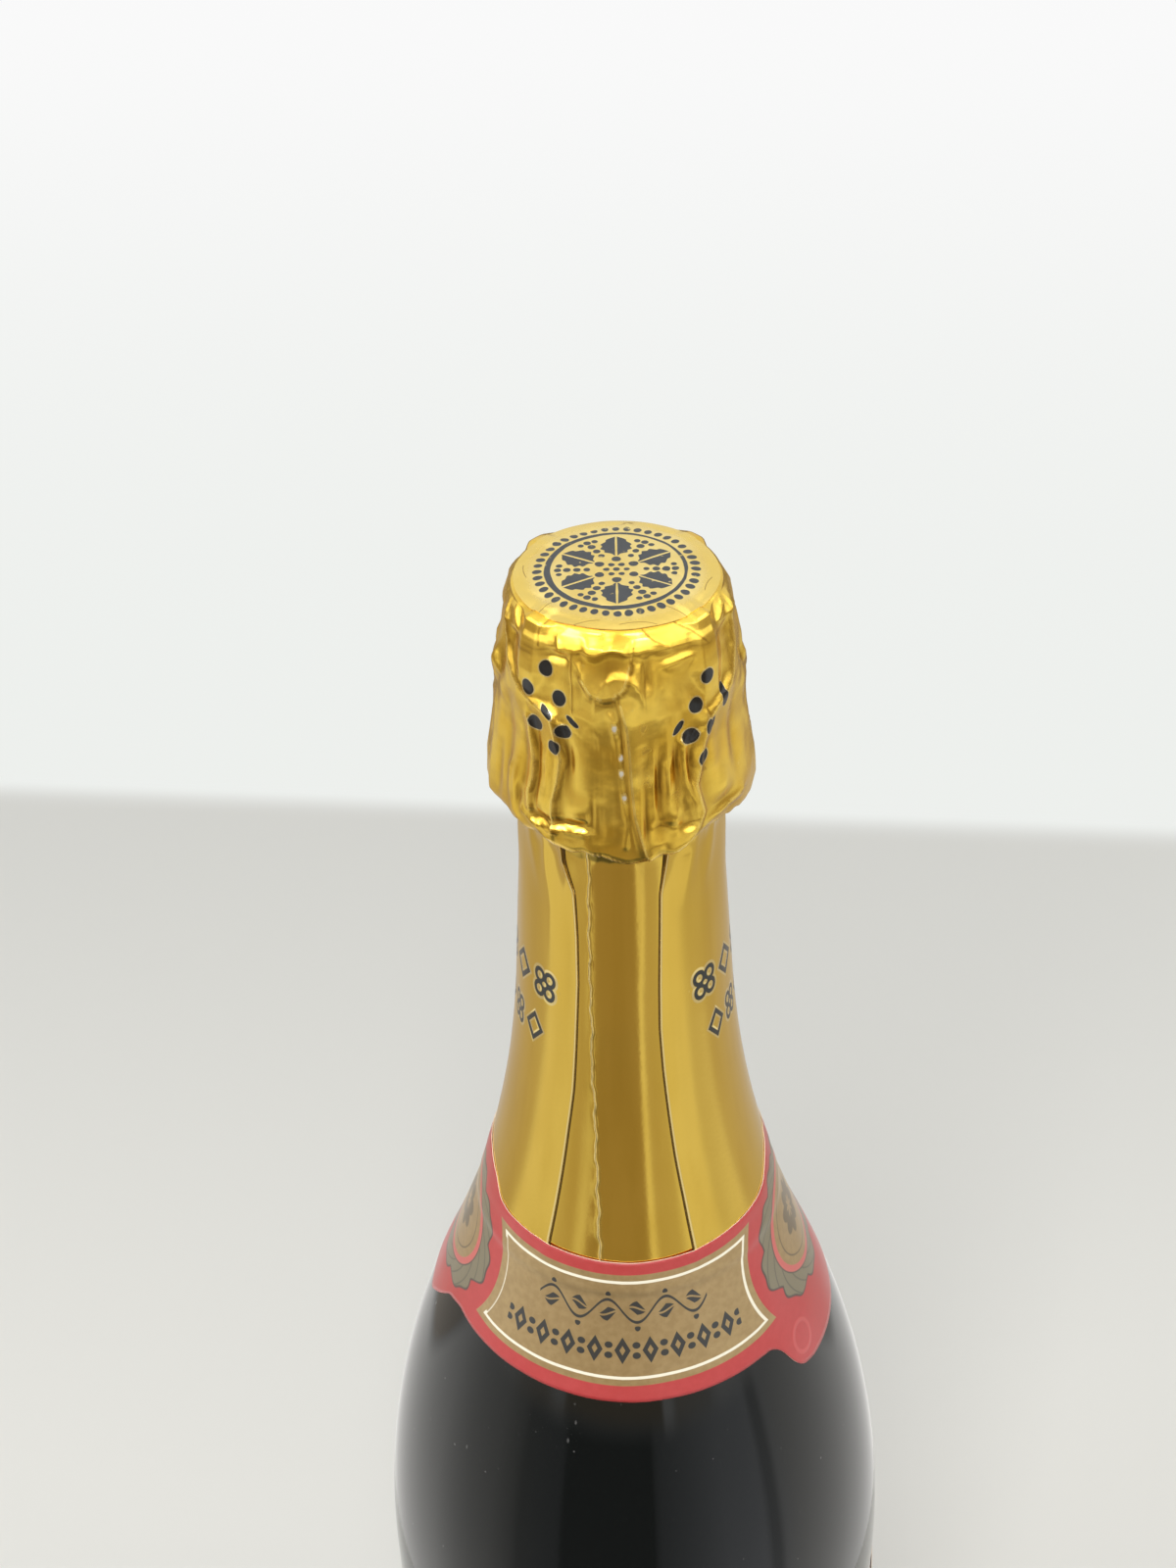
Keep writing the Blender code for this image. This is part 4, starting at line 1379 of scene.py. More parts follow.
@dataclass
class NeckFoil:
    """Satin foil round the neck, with two long pleats at the front, a lap behind and a waved seam."""

    glass: GlassBottle
    thickness: float = 0.12
    skin: float = 0.05
    head_depth: float = 32.89
    head_radius: float = 17.15
    flare: float = 6.0
    foot_depth: float = 114.62
    lap: float = 0.34
    columns: int = 300
    rows: int = 110
    left_pleat: Table = (
        (32, -36), (38.5, -33), (44, -27), (52, -25.5), (60, -25), (70, -26), (80, -27), (88, -29),
        (98, -31), (108, -33), (116, -34),
    )
    right_pleat: Table = (
        (32, 27), (38.5, 24), (44, 20.5), (52, 19.5), (60, 18.5), (68, 18), (76, 19), (84, 20.5), (92, 22),
        (100, 24), (108, 25.5), (116, 26.5),
    )
    seam: Table = (
        (32, -19), (38, -19), (50, -19), (60, -18.5), (70, -17.5), (74, -18), (82, -16), (90, -15),
        (98, -13.5), (108, -12), (116, -11),
    )
    second_crease: Table = ((40.0, -47.0), (46.0, -43.0), (90.0, -42.0), (108.0, -37.0))
    gathers: tuple[Fold, ...] = (
        Fold(0.5, 1.3, 1.3, ((46, 32), (45, 36.5), (41, 39.5), (38.5, 43), (36, 48)), 0.8),
        Fold(0.35, 1, 1, ((64, 34), (58, 40), (50, 46)), 0.9),
        Fold(0.45, 0.8, 1.5, ((-40, 33), (-34, 37), (-31.5, 42), (-30.5, 50)), 0.7),
        Fold(0.35, 0.8, 1, ((-49, 33.5), (-46.5, 39), (-46.5, 44), (-44, 54)), 0.7),
        Fold(0.4, 1.3, 1.3, ((-66, 34), (-58, 40), (-51, 47)), 0.9),
        Fold(0.4, 1.2, 1.2, ((88, 34), (84, 41), (80, 50)), 0.9),
        Fold(0.4, 1.2, 1.2, ((-88, 34), (-83, 42), (-80, 49)), 0.9),
        Fold(0.4, 1.2, 1.2, ((124, 34), (121, 41), (123, 50)), 0.9),
        Fold(0.4, 1.2, 1.2, ((-132, 34), (-128, 42), (-129, 49)), 0.9),
        Fold(0.4, 1.2, 1.2, ((160, 34), (162, 41), (159, 47)), 0.9),
    )

    def turns(self, u: Array, depth: Array) -> Array:
        """Turn of each column, drawn together along the pleats and the seam.

        Args:
            u: Share of the way round, from -0.5 to 0.5.
            depth: Depth of the point.

        Returns:
            The turn in degrees.
        """
        tables = (self.left_pleat, self.right_pleat, self.seam)
        left, right, seam = (softly_along(depth, table) for table in tables)
        u = u + 0.5
        close = (-2.2, -0.12, 0.12, 2.2)
        stops = [-180.0, -150.0, -60.0, *(left + off for off in close), seam - 0.7, seam + 0.7]
        stops += [*(right + off for off in close), 60.0, 150.0, 180.0]
        shares = [0.0, 0.06, 0.19, 0.285, 0.325, 0.335, 0.375, 0.395, 0.435,
                  0.525, 0.565, 0.575, 0.615, 0.74, 0.94, 1.0]
        turn = np.zeros_like(depth)
        for s0, s1, t0, t1 in zip(shares, shares[1:], stops, stops[1:]):
            inside = (u >= s0) & (u <= s1)
            turn = np.where(inside, t0 + (t1 - t0) * (u - s0) / (s1 - s0), turn)
        return turn

    def lift(self, turn: Array, depth: Array) -> Array:
        """How far the foil stands off its bed at each place.

        Args:
            turn: Turns of the places.
            depth: Their depths.

        Returns:
            The lift of each place, never below 0.
        """
        per_degree = math.radians(NECK_RADIUS)
        left = (softly_along(depth, self.left_pleat) - turn) * per_degree
        right = (turn - softly_along(depth, self.right_pleat)) * per_degree
        open_top = smooth(depth, 45.0, 37.0)
        lift = np.zeros_like(depth)
        for outside in (left, right):
            edge = smooth(outside, -0.04, 0.04)
            roll = np.exp(-np.maximum(outside, 0.0) / 0.9)
            lift += edge * (self.lap * (0.45 + 0.55 * roll) + open_top * 0.4 * roll)
        seam = softly_along(depth, self.seam) + 0.4 * np.sin(depth * 0.95) + 0.18 * np.sin(depth * 2.3 + 1.0)
        off = (turn - seam) * per_degree
        lift += 0.13 * np.exp(-(off / 0.13) ** 2) + 0.05 * smooth(off, 0.2, -0.2) * hump(off, 0.0, 1.2)
        second = turn - softly_along(depth, self.second_crease)
        lift += 0.1 * np.exp(-np.abs(second * per_degree) / 0.5) * smooth(depth, 60.0, 42.0)
        behind = turn_from(turn, 180.0) + 2.0 * np.sin(depth * 0.07)
        fall = np.exp(-np.maximum(behind, 0.0) * per_degree / 1.6)
        lift += self.lap * 0.6 * smooth(behind, -0.4, 0.4) * fall
        for fold in self.gathers:
            lift += fold.rise(turn, depth, NECK_RADIUS) * smooth(depth, 50.0, 38.0)
        angle = np.radians(turn)
        waves = np.sin(angle * 7.0 + depth * 0.12) + np.sin(angle * 12.0 - depth * 0.05)
        lift += 0.03 * waves * smooth(depth, 100.0, 60.0)
        return np.maximum(lift, 0.0)

    def place(self, u: Array, v: Array) -> Laid:
        """Turn, depth and radius of each point of the foil.

        Args:
            u: Share of the way across or round.
            v: Share of the way down.

        Returns:
            The three values of each point.
        """
        depth = self.head_depth + (self.foot_depth - self.head_depth) * v
        turn = self.turns(u, depth)
        bed = self.glass.radius(TOP - depth) + self.skin + self.thickness
        share = np.clip((self.head_depth + self.flare - depth) / self.flare, 0.0, 1.0)
        foot = self.glass.radius(TOP - np.full_like(depth, self.head_depth + self.flare))
        flared = (foot + self.skin + self.thickness) * (1.0 - share**2.4) + self.head_radius * share**2.4
        angle = np.radians(turn)
        gathers = 0.22 * np.sin(angle * 19.0 + 1.5 * np.sin(angle * 5.0)) * share
        radius = np.where(share > 0.0, flared - np.abs(gathers), bed)
        hidden = smooth(depth, 112.5, 109.5)
        return turn, depth, radius + self.lift(turn, depth) * hidden * (1.0 - 0.8 * share)

    def build(self) -> None:
        """Build and dress the foil."""
        obj = sleeve("satin_neck_foil", self.columns, self.rows, self.place)
        thickened(obj, self.thickness)
        material = SatinGoldFoil().material((self.left_pleat, self.right_pleat), self.seam)
        dress(obj, "bottle", "satin_gold_foil", ["neck_foil"], material)


@dataclass
class CollarLabel:
    """Shaped paper band round the foot of the neck, its ends nearly meeting behind."""

    glass: GlassBottle
    thickness: float = 0.13
    skin: float = 0.06
    foil: float = 0.2
    step_depth: float = 114.68
    step_length: float = 1.4
    columns: int = 320
    rows: int = 44
    head: Table = (
        (-180, 109.4), (-130, 108.9), (-118, 108.2), (-106, 105.6), (-90, 104.3), (-80, 104.9),
        (-70, 106.2), (-63, 108.3), (-55, 108.9), (-30, 109.3), (0, 109.7), (30, 109.4), (50, 109.1),
        (62, 108.9), (70, 108.3), (78, 106.5), (90, 104.6), (104, 105.6), (116, 108.2), (130, 108.9),
        (180, 109.4),
    )
    foot: Table = (
        (-180, 133), (-128, 132.9), (-116, 135.5), (-104, 140), (-90, 141.3), (-82, 137.5), (-75, 133.7),
        (-67, 132.3), (-50, 132.5), (0, 133.3), (40, 133), (47, 133.1), (50.5, 134.6), (54, 138.6),
        (57, 140.4), (62, 141.2), (75, 141.7), (90, 141.6), (110, 139.6), (120, 135), (130, 133),
        (180, 133),
    )

    def place(self, u: Array, v: Array) -> Laid:
        """Turn, depth and radius of each point of the band.

        Args:
            u: Share of the way across or round.
            v: Share of the way down.

        Returns:
            The three values of each point.
        """
        turn = -179.0 + 358.0 * u
        head = softly_along(turn, self.head, 1.2)
        foot = softly_along(turn, self.foot, 1.2)
        depth = head + (foot - head) * v
        over = smooth(depth, self.step_depth + self.step_length, self.step_depth)
        wobble = 0.02 * np.sin(np.radians(turn) * 9.0 + depth * 0.5) + 0.015 * np.sin(np.radians(turn) * 23.0)
        radius = self.glass.radius(TOP - depth) + self.skin + self.foil * over + wobble
        radius = radius + self.pleats_under(turn, depth)
        return turn, depth, radius + self.thickness

    def pleats_under(self, turn: Array, depth: Array) -> Array:
        """The slight rise of the paper where a pleat of the foil runs under it."""
        rise = 0.12 * (hump(turn, -33.5, 3.0) + hump(turn, 26.0, 3.0))
        return rise * smooth(depth, 114.0, 110.5) + 0.1 * smooth(depth, 112.0, 109.5)

    def build(self) -> None:
        """Build and dress the label."""
        obj = strip("shaped_collar_label", self.columns, self.rows, self.place)
        thickened(obj, self.thickness, material_offset_rim=1)
        paper = CollarPaper().material()
        dress(obj, "bottle", "collar_paper", ["collar_label"], paper, PaperEdge().material())
        self.paint_rim(obj)

    @staticmethod
    def paint_rim(obj: Piece) -> None:
        """Give the cut edge its own material: the faces that look up, down or sideways.

        Args:
            obj: The label.
        """
        for polygon in obj.data.polygons:
            outward = Vector((polygon.center.x, polygon.center.y, 0.0)).normalized()
            facing = abs(polygon.normal.dot(outward))
            polygon.material_index = 1 if facing < 0.35 else 0


@dataclass
class FrontLabel:
    """Paper label on the body, on the side that the photograph doesn't show."""

    body_radius: float = 44.0
    skin: float = 0.16
    thickness: float = 0.2
    width: float = 82.0
    foot: float = 28.0
    height: float = 78.0
    corner: float = 5.0

    def place(self, u: Array, v: Array) -> Laid:
        """Turn, depth and radius of each point, with cut-in corners.

        Args:
            u: Share of the way across or round.
            v: Share of the way down.

        Returns:
            The three values of each point.
        """
        across = (u - 0.5) * self.width
        up = self.foot + self.height * (1.0 - v)
        from_side = self.width / 2.0 - np.abs(across)
        bite = np.sqrt(np.maximum(self.corner**2 - np.minimum(from_side, self.corner) ** 2, 0.0))
        middle = self.foot + self.height / 2.0
        share = (up - middle) / (self.height / 2.0)
        up = middle + share * (self.height / 2.0 - bite)
        radius = np.full_like(up, self.body_radius + self.skin + self.thickness)
        turn = 90.0 + np.degrees(across / (self.body_radius + self.skin))
        return turn, TOP - up, radius

    def build(self) -> None:
        """Build and dress the label."""
        obj = strip("front_body_label", 120, 60, self.place)
        thickened(obj, self.thickness)
        paper = FrontPaper().material()
        dress(obj, "bottle", "front_paper", ["front_label"], paper, PaperEdge().material())
        CollarLabel.paint_rim(obj)


@dataclass
class Cork:
    """Pressed cork with its mushroom head and the two discs of natural cork at its foot."""

    lip_z: float = 300.69
    head_height: float = 17.15
    head_radius: float = 14.2
    top_radius: float = 13.05
    shank_radius: float = 8.75
    shank_length: float = 26.5
    disc: float = 5.0
    glue: float = 0.06
    edge: float = 0.6
    seat_gap: float = 0.2
    plate_drop: float = 1.0
    sides: int = 96

    def outline(self) -> list[Point]:
        """Outline of the pressed cork, from its crown to its foot.

        Returns:
            The outline's points.
        """
        top = self.lip_z + self.head_height
        seat = self.lip_z + self.seat_gap
        rim = top - self.plate_drop
        shares = ((0.0, 0.0), (0.06, 0.28), (0.12, 0.5), (0.2, 0.72), (0.3, 0.9), (0.4, 0.98), (0.5, 1.0),
                  (0.65, 0.96), (0.78, 0.85), (0.88, 0.6), (0.94, 0.3))
        gain = self.head_radius - self.top_radius
        head = [(self.top_radius + gain * out, rim + (seat - rim) * down) for down, out in shares]
        foot = self.lip_z - self.shank_length + 2.0 * (self.disc + self.glue)
        crown = arc((self.top_radius - self.edge, top - self.edge), self.edge, 90.0, 0.0, 4)
        seat_r = self.shank_radius + (self.top_radius - self.shank_radius) * 0.85
        shank = [(self.shank_radius, seat), (self.shank_radius, foot)]
        return [(0.0, top), (6.0, top)] + crown + head + [(seat_r, seat)] + shank + [(0.0, foot)]

    def disc_outline(self, foot: float, edge: float) -> list[Point]:
        """Outline of one disc.

        Args:
            foot: Height of the disc's lower face.
            edge: Radius of its rounded edge.

        Returns:
            The outline's points.
        """
        rim = arc((self.shank_radius - edge, foot + edge), edge, 0.0, -90.0, 4) if edge else []
        foot_rim = rim or [(self.shank_radius, foot)]
        return [(0.0, foot + self.disc), (self.shank_radius, foot + self.disc)] + foot_rim + [(0.0, foot)]

    def build(self) -> None:
        """Build and dress the cork and its discs."""
        grain = spun("pressed_cork", self.outline(), self.sides)
        dress(grain, "cork", "cork_agglomerate", ["cork_body"], PressedCork().material())
        foot = self.lip_z - self.shank_length
        natural = NaturalCork().material()
        lower = spun("natural_disc_lower", self.disc_outline(foot, self.edge), self.sides)
        dress(lower, "cork", "cork_natural", ["cork_disc_lower"], natural)
        upper = spun("natural_disc_upper", self.disc_outline(foot + self.disc + self.glue, 0.0), self.sides)
        dress(upper, "cork", "cork_natural", ["cork_disc_upper"], natural)


@dataclass
class WireCage:
    """Pressed plate, four twisted wires and the belt wire."""

    groove_z: float = 318.34
    thickness: float = 0.35
    radius: float = 13.6
    rim_drop: float = 1.5
    dome_radius: float = 9.4
    dome_slope: float = 0.8
    dome_rise: float = 0.8
    levels: int = 2

    def plate_outline(self) -> list[Point]:
        """Closed outline of the pressed plate, over its top and back underneath.

        Returns:
            The outline's points.
        """
        dome = self.groove_z + self.dome_rise
        slope_in = self.dome_radius - self.dome_slope / 2.0
        slope_out = self.dome_radius + self.dome_slope / 2.0
        edge = self.radius - self.thickness
        over = [(0.0, dome), (slope_in - 0.5, dome), (slope_in, dome - 0.08)]
        over += [(slope_out, self.groove_z + 0.06), (slope_out + 0.4, self.groove_z)]
        over += arc((edge, self.groove_z - self.thickness), self.thickness, 90.0, 0.0, 4)
        foot = self.groove_z - self.rim_drop
        under = [(self.radius, foot), (edge, foot), (edge, self.groove_z - self.thickness)]
        under += [(slope_out - 0.2, self.groove_z - self.thickness), (slope_in - 0.2, dome - self.thickness)]
        return over + under + [(0.0, dome - self.thickness)]

    def build(self) -> None:
        """Build and dress the plate and the wires."""
        plate = spun("pressed_plate", self.plate_outline(), 96)
        dress(plate, "cage", "cage_plate", ["cap_plate"], LacqueredPlate().material())
        steel = GalvanisedWire().material()
        for number in range(1, 5):
            wire = refined(f"cage_wire_{number}", f"twisted_wire_{number}", self.levels)
            dress(wire, "cage", "cage_wire", [f"cage_wire_{number}"], steel)
        belt = refined("belt_wire", "twisted_belt_wire", self.levels)
        dress(belt, "cage", "cage_wire", ["belt_wire"], steel)


@dataclass(frozen=True)
class InkDot:
    """One printed dot: its place, width and height, and how far it leans."""

    turn: float
    depth: float
    width: float = 2.1
    height: float = 2.3
    lean: float = 0.0

    def distance(self, turn: Array, depth: Array, radius: float) -> Array:
        """Distance from the dot's middle, 1 at its edge.

        Args:
            turn: Turns of the places.
            depth: Their depths.
            radius: Radius at which a turn is measured.

        Returns:
            The distance of each place.
        """
        x = turn_from(turn, self.turn) * math.radians(radius)
        y = depth - self.depth
        lean = math.radians(self.lean)
        across = x * math.cos(lean) + y * math.sin(lean)
        down = y * math.cos(lean) - x * math.sin(lean)
        return np.hypot(across / (self.width / 2.0), down / (self.height / 2.0))


@dataclass
class FoilCap:
    """Crumpled bright foil over the cork and cage, and the printed disc on its top."""

    thickness: float = 0.2
    measure_radius: float = 17.0
    lap_radius: float = 10.9
    lap_end: float = 13.45
    disc_radius: float = 13.6
    disc_thickness: float = 0.12
    columns: int = 352
    rows: int = 136
    seed: int = 8
    band: Table = ((0.0, 13.45), (0.12, 13.85), (0.35, 14.4), (0.7, 14.9), (0.9, 15.1), (1.0, 15.15))
    wall: Table = (
        (0, 15.15), (0.35, 15.08), (0.9, 15), (4.4, 15.8), (8.9, 16.6), (15.4, 16.75), (20.4, 17.3),
        (24.4, 17.85), (28, 18.1), (32.4, 18.15),
    )
    crease: Table = (
        (-180, 3.6), (-150, 4), (-120, 3.3), (-95, 3.9), (-74, 4), (-64, 3.7), (-55, 4.3), (-48, 4.2),
        (-41, 4.1), (-34, 3.7), (-26, 3.6), (-17, 3.1), (-11, 3.6), (-5.6, 2.4), (-1.3, 2.3), (3, 3),
        (8.6, 3.4), (15, 3.3), (25, 3.6), (37, 3.8), (46, 4.3), (59, 4.1), (72, 3.3), (95, 3.8), (120, 4.2),
        (150, 3.5), (180, 3.6),
    )
    droop: Table = (
        (-180, 0.78), (-130, 0.7), (-100, 0.85), (-64, 0.75), (-52, 0.85), (-44, 0.85), (-24, 0.35),
        (-4, 0.45), (18, 0.5), (36, 0.75), (53, 0.85), (65, 0.6), (90, 0.8), (130, 0.7), (180, 0.78),
    )
    rim: Table = (
        (-180, 33.4), (-160, 32.9), (-140, 33.7), (-115, 33.2), (-98, 33.5), (-82, 32.9), (-64, 32.2),
        (-49, 33), (-40, 32.8), (-32, 33.6), (-24, 34.2), (-17, 33.8), (-10, 34.2), (-5, 34.7), (2, 35.4),
        (8, 35.3), (15, 34.4), (21, 34.4), (27, 33.7), (35, 32.6), (47, 32.4), (60, 33), (77, 34.8),
        (95, 34.2), (118, 33), (140, 33.6), (160, 33.9), (180, 33.4),
    )
    leg_room: Table = (
        (0.5, 13.6), (1.2, 14.75), (2.5, 15.1), (3.4, 15.5), (5, 15.85), (8, 16.3), (28, 16.45), (29.3, 17),
        (30.5, 17.25), (32.5, 17.2), (36, 17.2),
    )
    ring_room: Table = (
        (0.5, 13.3), (1, 13.65), (4, 13.7), (8, 14.3), (16, 14.2), (20, 14.3), (28.5, 14.6), (30, 16.35),
        (31.6, 16.6), (32.2, 17.3), (33.4, 17.2), (34.5, 16.5), (36, 16),
    )
    eye_depth: float = 12.0
    eye_reach: Point = (3.5, 5.9)
    eye_radius: float = 16.3
    tail_depth: float = 23.5
    tail_reach: Point = (3.6, 6.5)
    tail_radius: float = 16.6
    boss: Table = ((1.2, 0.0), (2.4, 0.75), (5.5, 0.5), (8.0, 0.2), (9.8, 0.0))
    pillows: tuple[tuple[float, ...], ...] = (
        (-36, 27, 4, 2.2, 0.5), (-20, 27, 4.5, 2.2, 0.55), (23.5, 28.5, 3, 2.4, 0.55),
        (-52, 26.5, 2.6, 2.4, 0.45), (50, 27, 6, 2.2, 0.5), (-34, 22, 1.8, 4.5, 0.35),
        (21, 22.5, 1.6, 4, 0.45), (14.5, 22.5, 1.5, 4.5, 0.25), (7, 27, 2.2, 5, 0.35),
        (-2, 13, 14, 6.5, 0.4), (-66, 5, 5, 1.2, 0.4), (-40, 5, 6, 1, 0.25), (36, 5.2, 10, 1.1, 0.3),
        (-25, 32.6, 6, 1.1, 0.2), (16, 32.2, 3, 1, 0.3), (30, 31.3, 2.6, 0.9, 0.25), (-70, 20, 4, 5, 0.35),
        (70, 12, 5, 5, 0.3), (72, 25, 5, 5, 0.35), (60, 9, 3, 3, 0.25), (45, 21, 4, 4, 0.3),
        (-5, 24, 3, 6, 0.2), (-73, 10, 4, 3.5, -0.5), (-40, 22, 1.7, 4.5, -0.55),
        (-24, 20.5, 2.8, 3.5, -0.6), (1, 16.5, 1.6, 4, -0.4), (26, 21.5, 1.9, 3.5, -0.6),
        (32.5, 22, 1.7, 3, -0.5), (17, 24.5, 2, 4, -0.6), (13, 6.5, 2.2, 2.2, -0.45), (-10, 30, 3, 3, -0.3),
        (-36, 29.6, 6, 0.9, -0.35), (-20, 29.4, 5, 0.8, -0.35), (50, 29.3, 7, 1.1, -0.4),
        (-13, 28, 1.5, 3, -0.3), (10.5, 30, 1.3, 4, -0.4), (-47, 22, 2.5, 5, -0.3), (-60, 22, 3, 6, -0.35),
        (-67, 27, 2.5, 4, -0.35), (62, 21, 3, 5, -0.35), (-49.5, 28, 1.2, 2, -0.35), (88, 30, 26, 4.5, 0.5),
        (-88, 30, 26, 4.5, 0.25), (84, 18, 4, 5, -0.4), (-83, 22, 4, 5, -0.35),
    )
    folds: tuple[Fold, ...] = (
        Fold(0.75, 0.9, 0.4, ((-44.5, 15), (-43.5, 18), (-41.2, 21.3), (-41.6, 24), (-43.6, 26.3),
            (-42.6, 28.6)), 0.14),
        Fold(0.75, 0.8, 0.4, ((-31.5, 13.5), (-29.6, 17), (-27.4, 19.5), (-28.6, 23), (-30.6, 26),
            (-30.6, 31)), 0.14),
        Fold(0.85, 0.5, 1.5, ((0.5, 10), (3, 13.5), (4, 17.5), (4.6, 22), (5.6, 27), (8.5, 31.5),
            (11, 34.4)), 0.18),
        Fold(0.3, 0.4, 0.4, ((-4.2, 11.5), (-2.4, 14), (-0.4, 18), (0.2, 22), (1, 25), (2.6, 28.6),
            (1.6, 32)), 0.25),
        Fold(0.85, 1, 0.4, ((41.8, 14.5), (41, 17.5), (37.6, 20.6), (36.8, 22.4), (34.2, 24.6),
            (35.6, 27.2), (36.8, 29), (33.5, 31), (27, 33.4)), 0.14),
        Fold(0.5, 0.5, 0.6, ((29, 17.5), (28.4, 20.5), (29.6, 24), (32.6, 27), (33.4, 29)), 0.16),
        Fold(0.65, 1.9, 0.6, ((-70, 3.8), (-66, 6.4), (-62, 8.6), (-56, 10.2), (-47, 11.8), (-38, 12.6),
            (-31.5, 13.4)), 0.25),
        Fold(0.95, 0.6, 1.9, ((71, 3.6), (68.5, 7.6), (62.5, 11.2), (56, 13), (48, 14.2), (42.5, 15.4)),
            0.25),
        Fold(0.5, 0.4, 0.9, ((-57.5, 24.5), (-56, 27.5), (-52.5, 31)), 0.16),
        Fold(-0.5, 1.2, 1.2, ((-74, 7), (-72, 13)), 1),
        Fold(0.45, 0.3, 0.4, ((-47, 29.8), (-38, 31.4), (-33.5, 32.3)), 0.14),
        Fold(0.45, 0.7, 0.3, ((-38, 30.8), (-26, 30.6), (-17, 30.3)), 0.14),
        Fold(-0.35, 0.4, 0.4, ((-36, 29.6), (-26, 29.5), (-17, 29.3)), 0.3),
        Fold(0.55, 0.4, 0.9, ((24, 34), (30, 32.4), (40, 31), (52, 30.4), (64, 30.6)), 0.16),
        Fold(-0.3, 0.5, 0.5, ((15, 29.6), (22, 30), (30, 30.4)), 0.4),
        Fold(0.65, 0.4, 1.2, ((-17, 7), (-12.5, 8.9), (-7, 9.3), (-3, 9), (2, 7.6), (5, 4.8)), 0.3),
        Fold(0.35, 0.35, 0.4, ((-5, 3.4), (-5.5, 6), (-3.5, 8.6)), 0.2),
        Fold(0.35, 0.2, 0.9, ((-40.7, 3.9), (-41.9, 1.8), (-39.5, 0.9)), 0.12),
        Fold(0.35, 0.9, 0.2, ((31.7, 0.9), (38.6, 2.1), (45.8, 4.2)), 0.12),
        Fold(0.3, 0.6, 0.3, ((-66, 1.6), (-58, 3.4)), 0.15),
        Fold(0.3, 0.3, 0.6, ((60, 3.2), (70, 1.4)), 0.15),
        Fold(0.3, 0.2, 0.6, ((-27, 0.9), (-31.5, 2), (-30, 3.4)), 0.12),
        Fold(0.25, 0.6, 0.2, ((13, 0.8), (17, 1.9), (25, 3.2)), 0.12),
        Fold(0.3, 0.15, 0.5, ((-22.6, 4.1), (-22.8, 6.5), (-21.8, 8.6), (-21.3, 12)), 0.12),
        Fold(-0.45, 0.4, 0.3, ((-60, 4.8), (-52, 5.3), (-43, 5), (-34, 4.8), (-27, 4.6)), 0.3),
        Fold(0.3, 0.7, 0.35, ((24, 5.6), (34, 5.4), (46, 5.6), (57, 4.9)), 0.4),
        Fold(0.75, 1.2, 0.6, ((80, 5), (84, 14), (81, 22), (86, 32)), 0.3),
    )
    rubs: Table = ((-2.3, 13.4), (0.4, 18.2), (0.4, 20.6), (1.5, 24.3))
    stains: Table = ((10.5, 13.8), (11.5, 17.6), (39.5, 22.8), (61.0, 16.6), (24.5, 25.2), (12.0, 22.5))
    dots: tuple[InkDot, ...] = (
        InkDot(-36.1, 6.8), InkDot(-45.3, 10.3), InkDot(-28.6, 10.5), InkDot(-40.3, 15.2, 2.3),
        InkDot(-33.9, 12.7, 0.9, 2.4, -50), InkDot(-25.8, 15.2, 2.3, 2.1, -20),
        InkDot(-21.4, 13.4, 0.9, 2.3, -50), InkDot(-30.5, 17.9, 1.7), InkDot(44, 9),
        InkDot(54, 13.9, 1.3, 2.4), InkDot(53.1, 12.3, 0.9, 2), InkDot(36.6, 12.6),
        InkDot(42.5, 16.4, 1.2, 2.5), InkDot(33, 17, 2.5), InkDot(27.4, 15.2, 1, 2.5, 40),
        InkDot(45, 16, 0.7, 1.8, 20), InkDot(39.1, 20.8, 1.6, 2.3, 20),
    )
    dents: tuple[tuple[Point, Point], ...] = (
        ((-5, -6), (3, -12.5)), ((4, 2), (12, -5)), ((-12.5, 3), (-6, 9)), ((-13, -3), (-6, -9.5)),
        ((9, -10), (13, -3)), ((-9, 8), (2, 12.8)), ((3, 12.5), (10, 7)), ((-11, -7.5), (-4, -12.6)),
    )
    back_dots: Table = (
        (6.8, -9), (10.3, 8), (10.5, -17), (15.2, 0), (15.4, 15), (17.9, -8), (20.8, 5),
    )

    def __post_init__(self) -> None:
        """Draw the random folds and pillows once."""
        self.random_folds = self.drawn_folds()
        rng = np.random.default_rng(self.seed + 1)
        spots = [(rng.uniform(76.0, 284.0), rng.uniform(6.0, 32.0)) for _ in range(70)]
        ranges = ((2.0, 6.0), (1.2, 5.0), (-0.5, 0.5))
        drawn = tuple((*spot, *(rng.uniform(low, high) for low, high in ranges)) for spot in spots)
        self.all_pillows = self.pillows + drawn

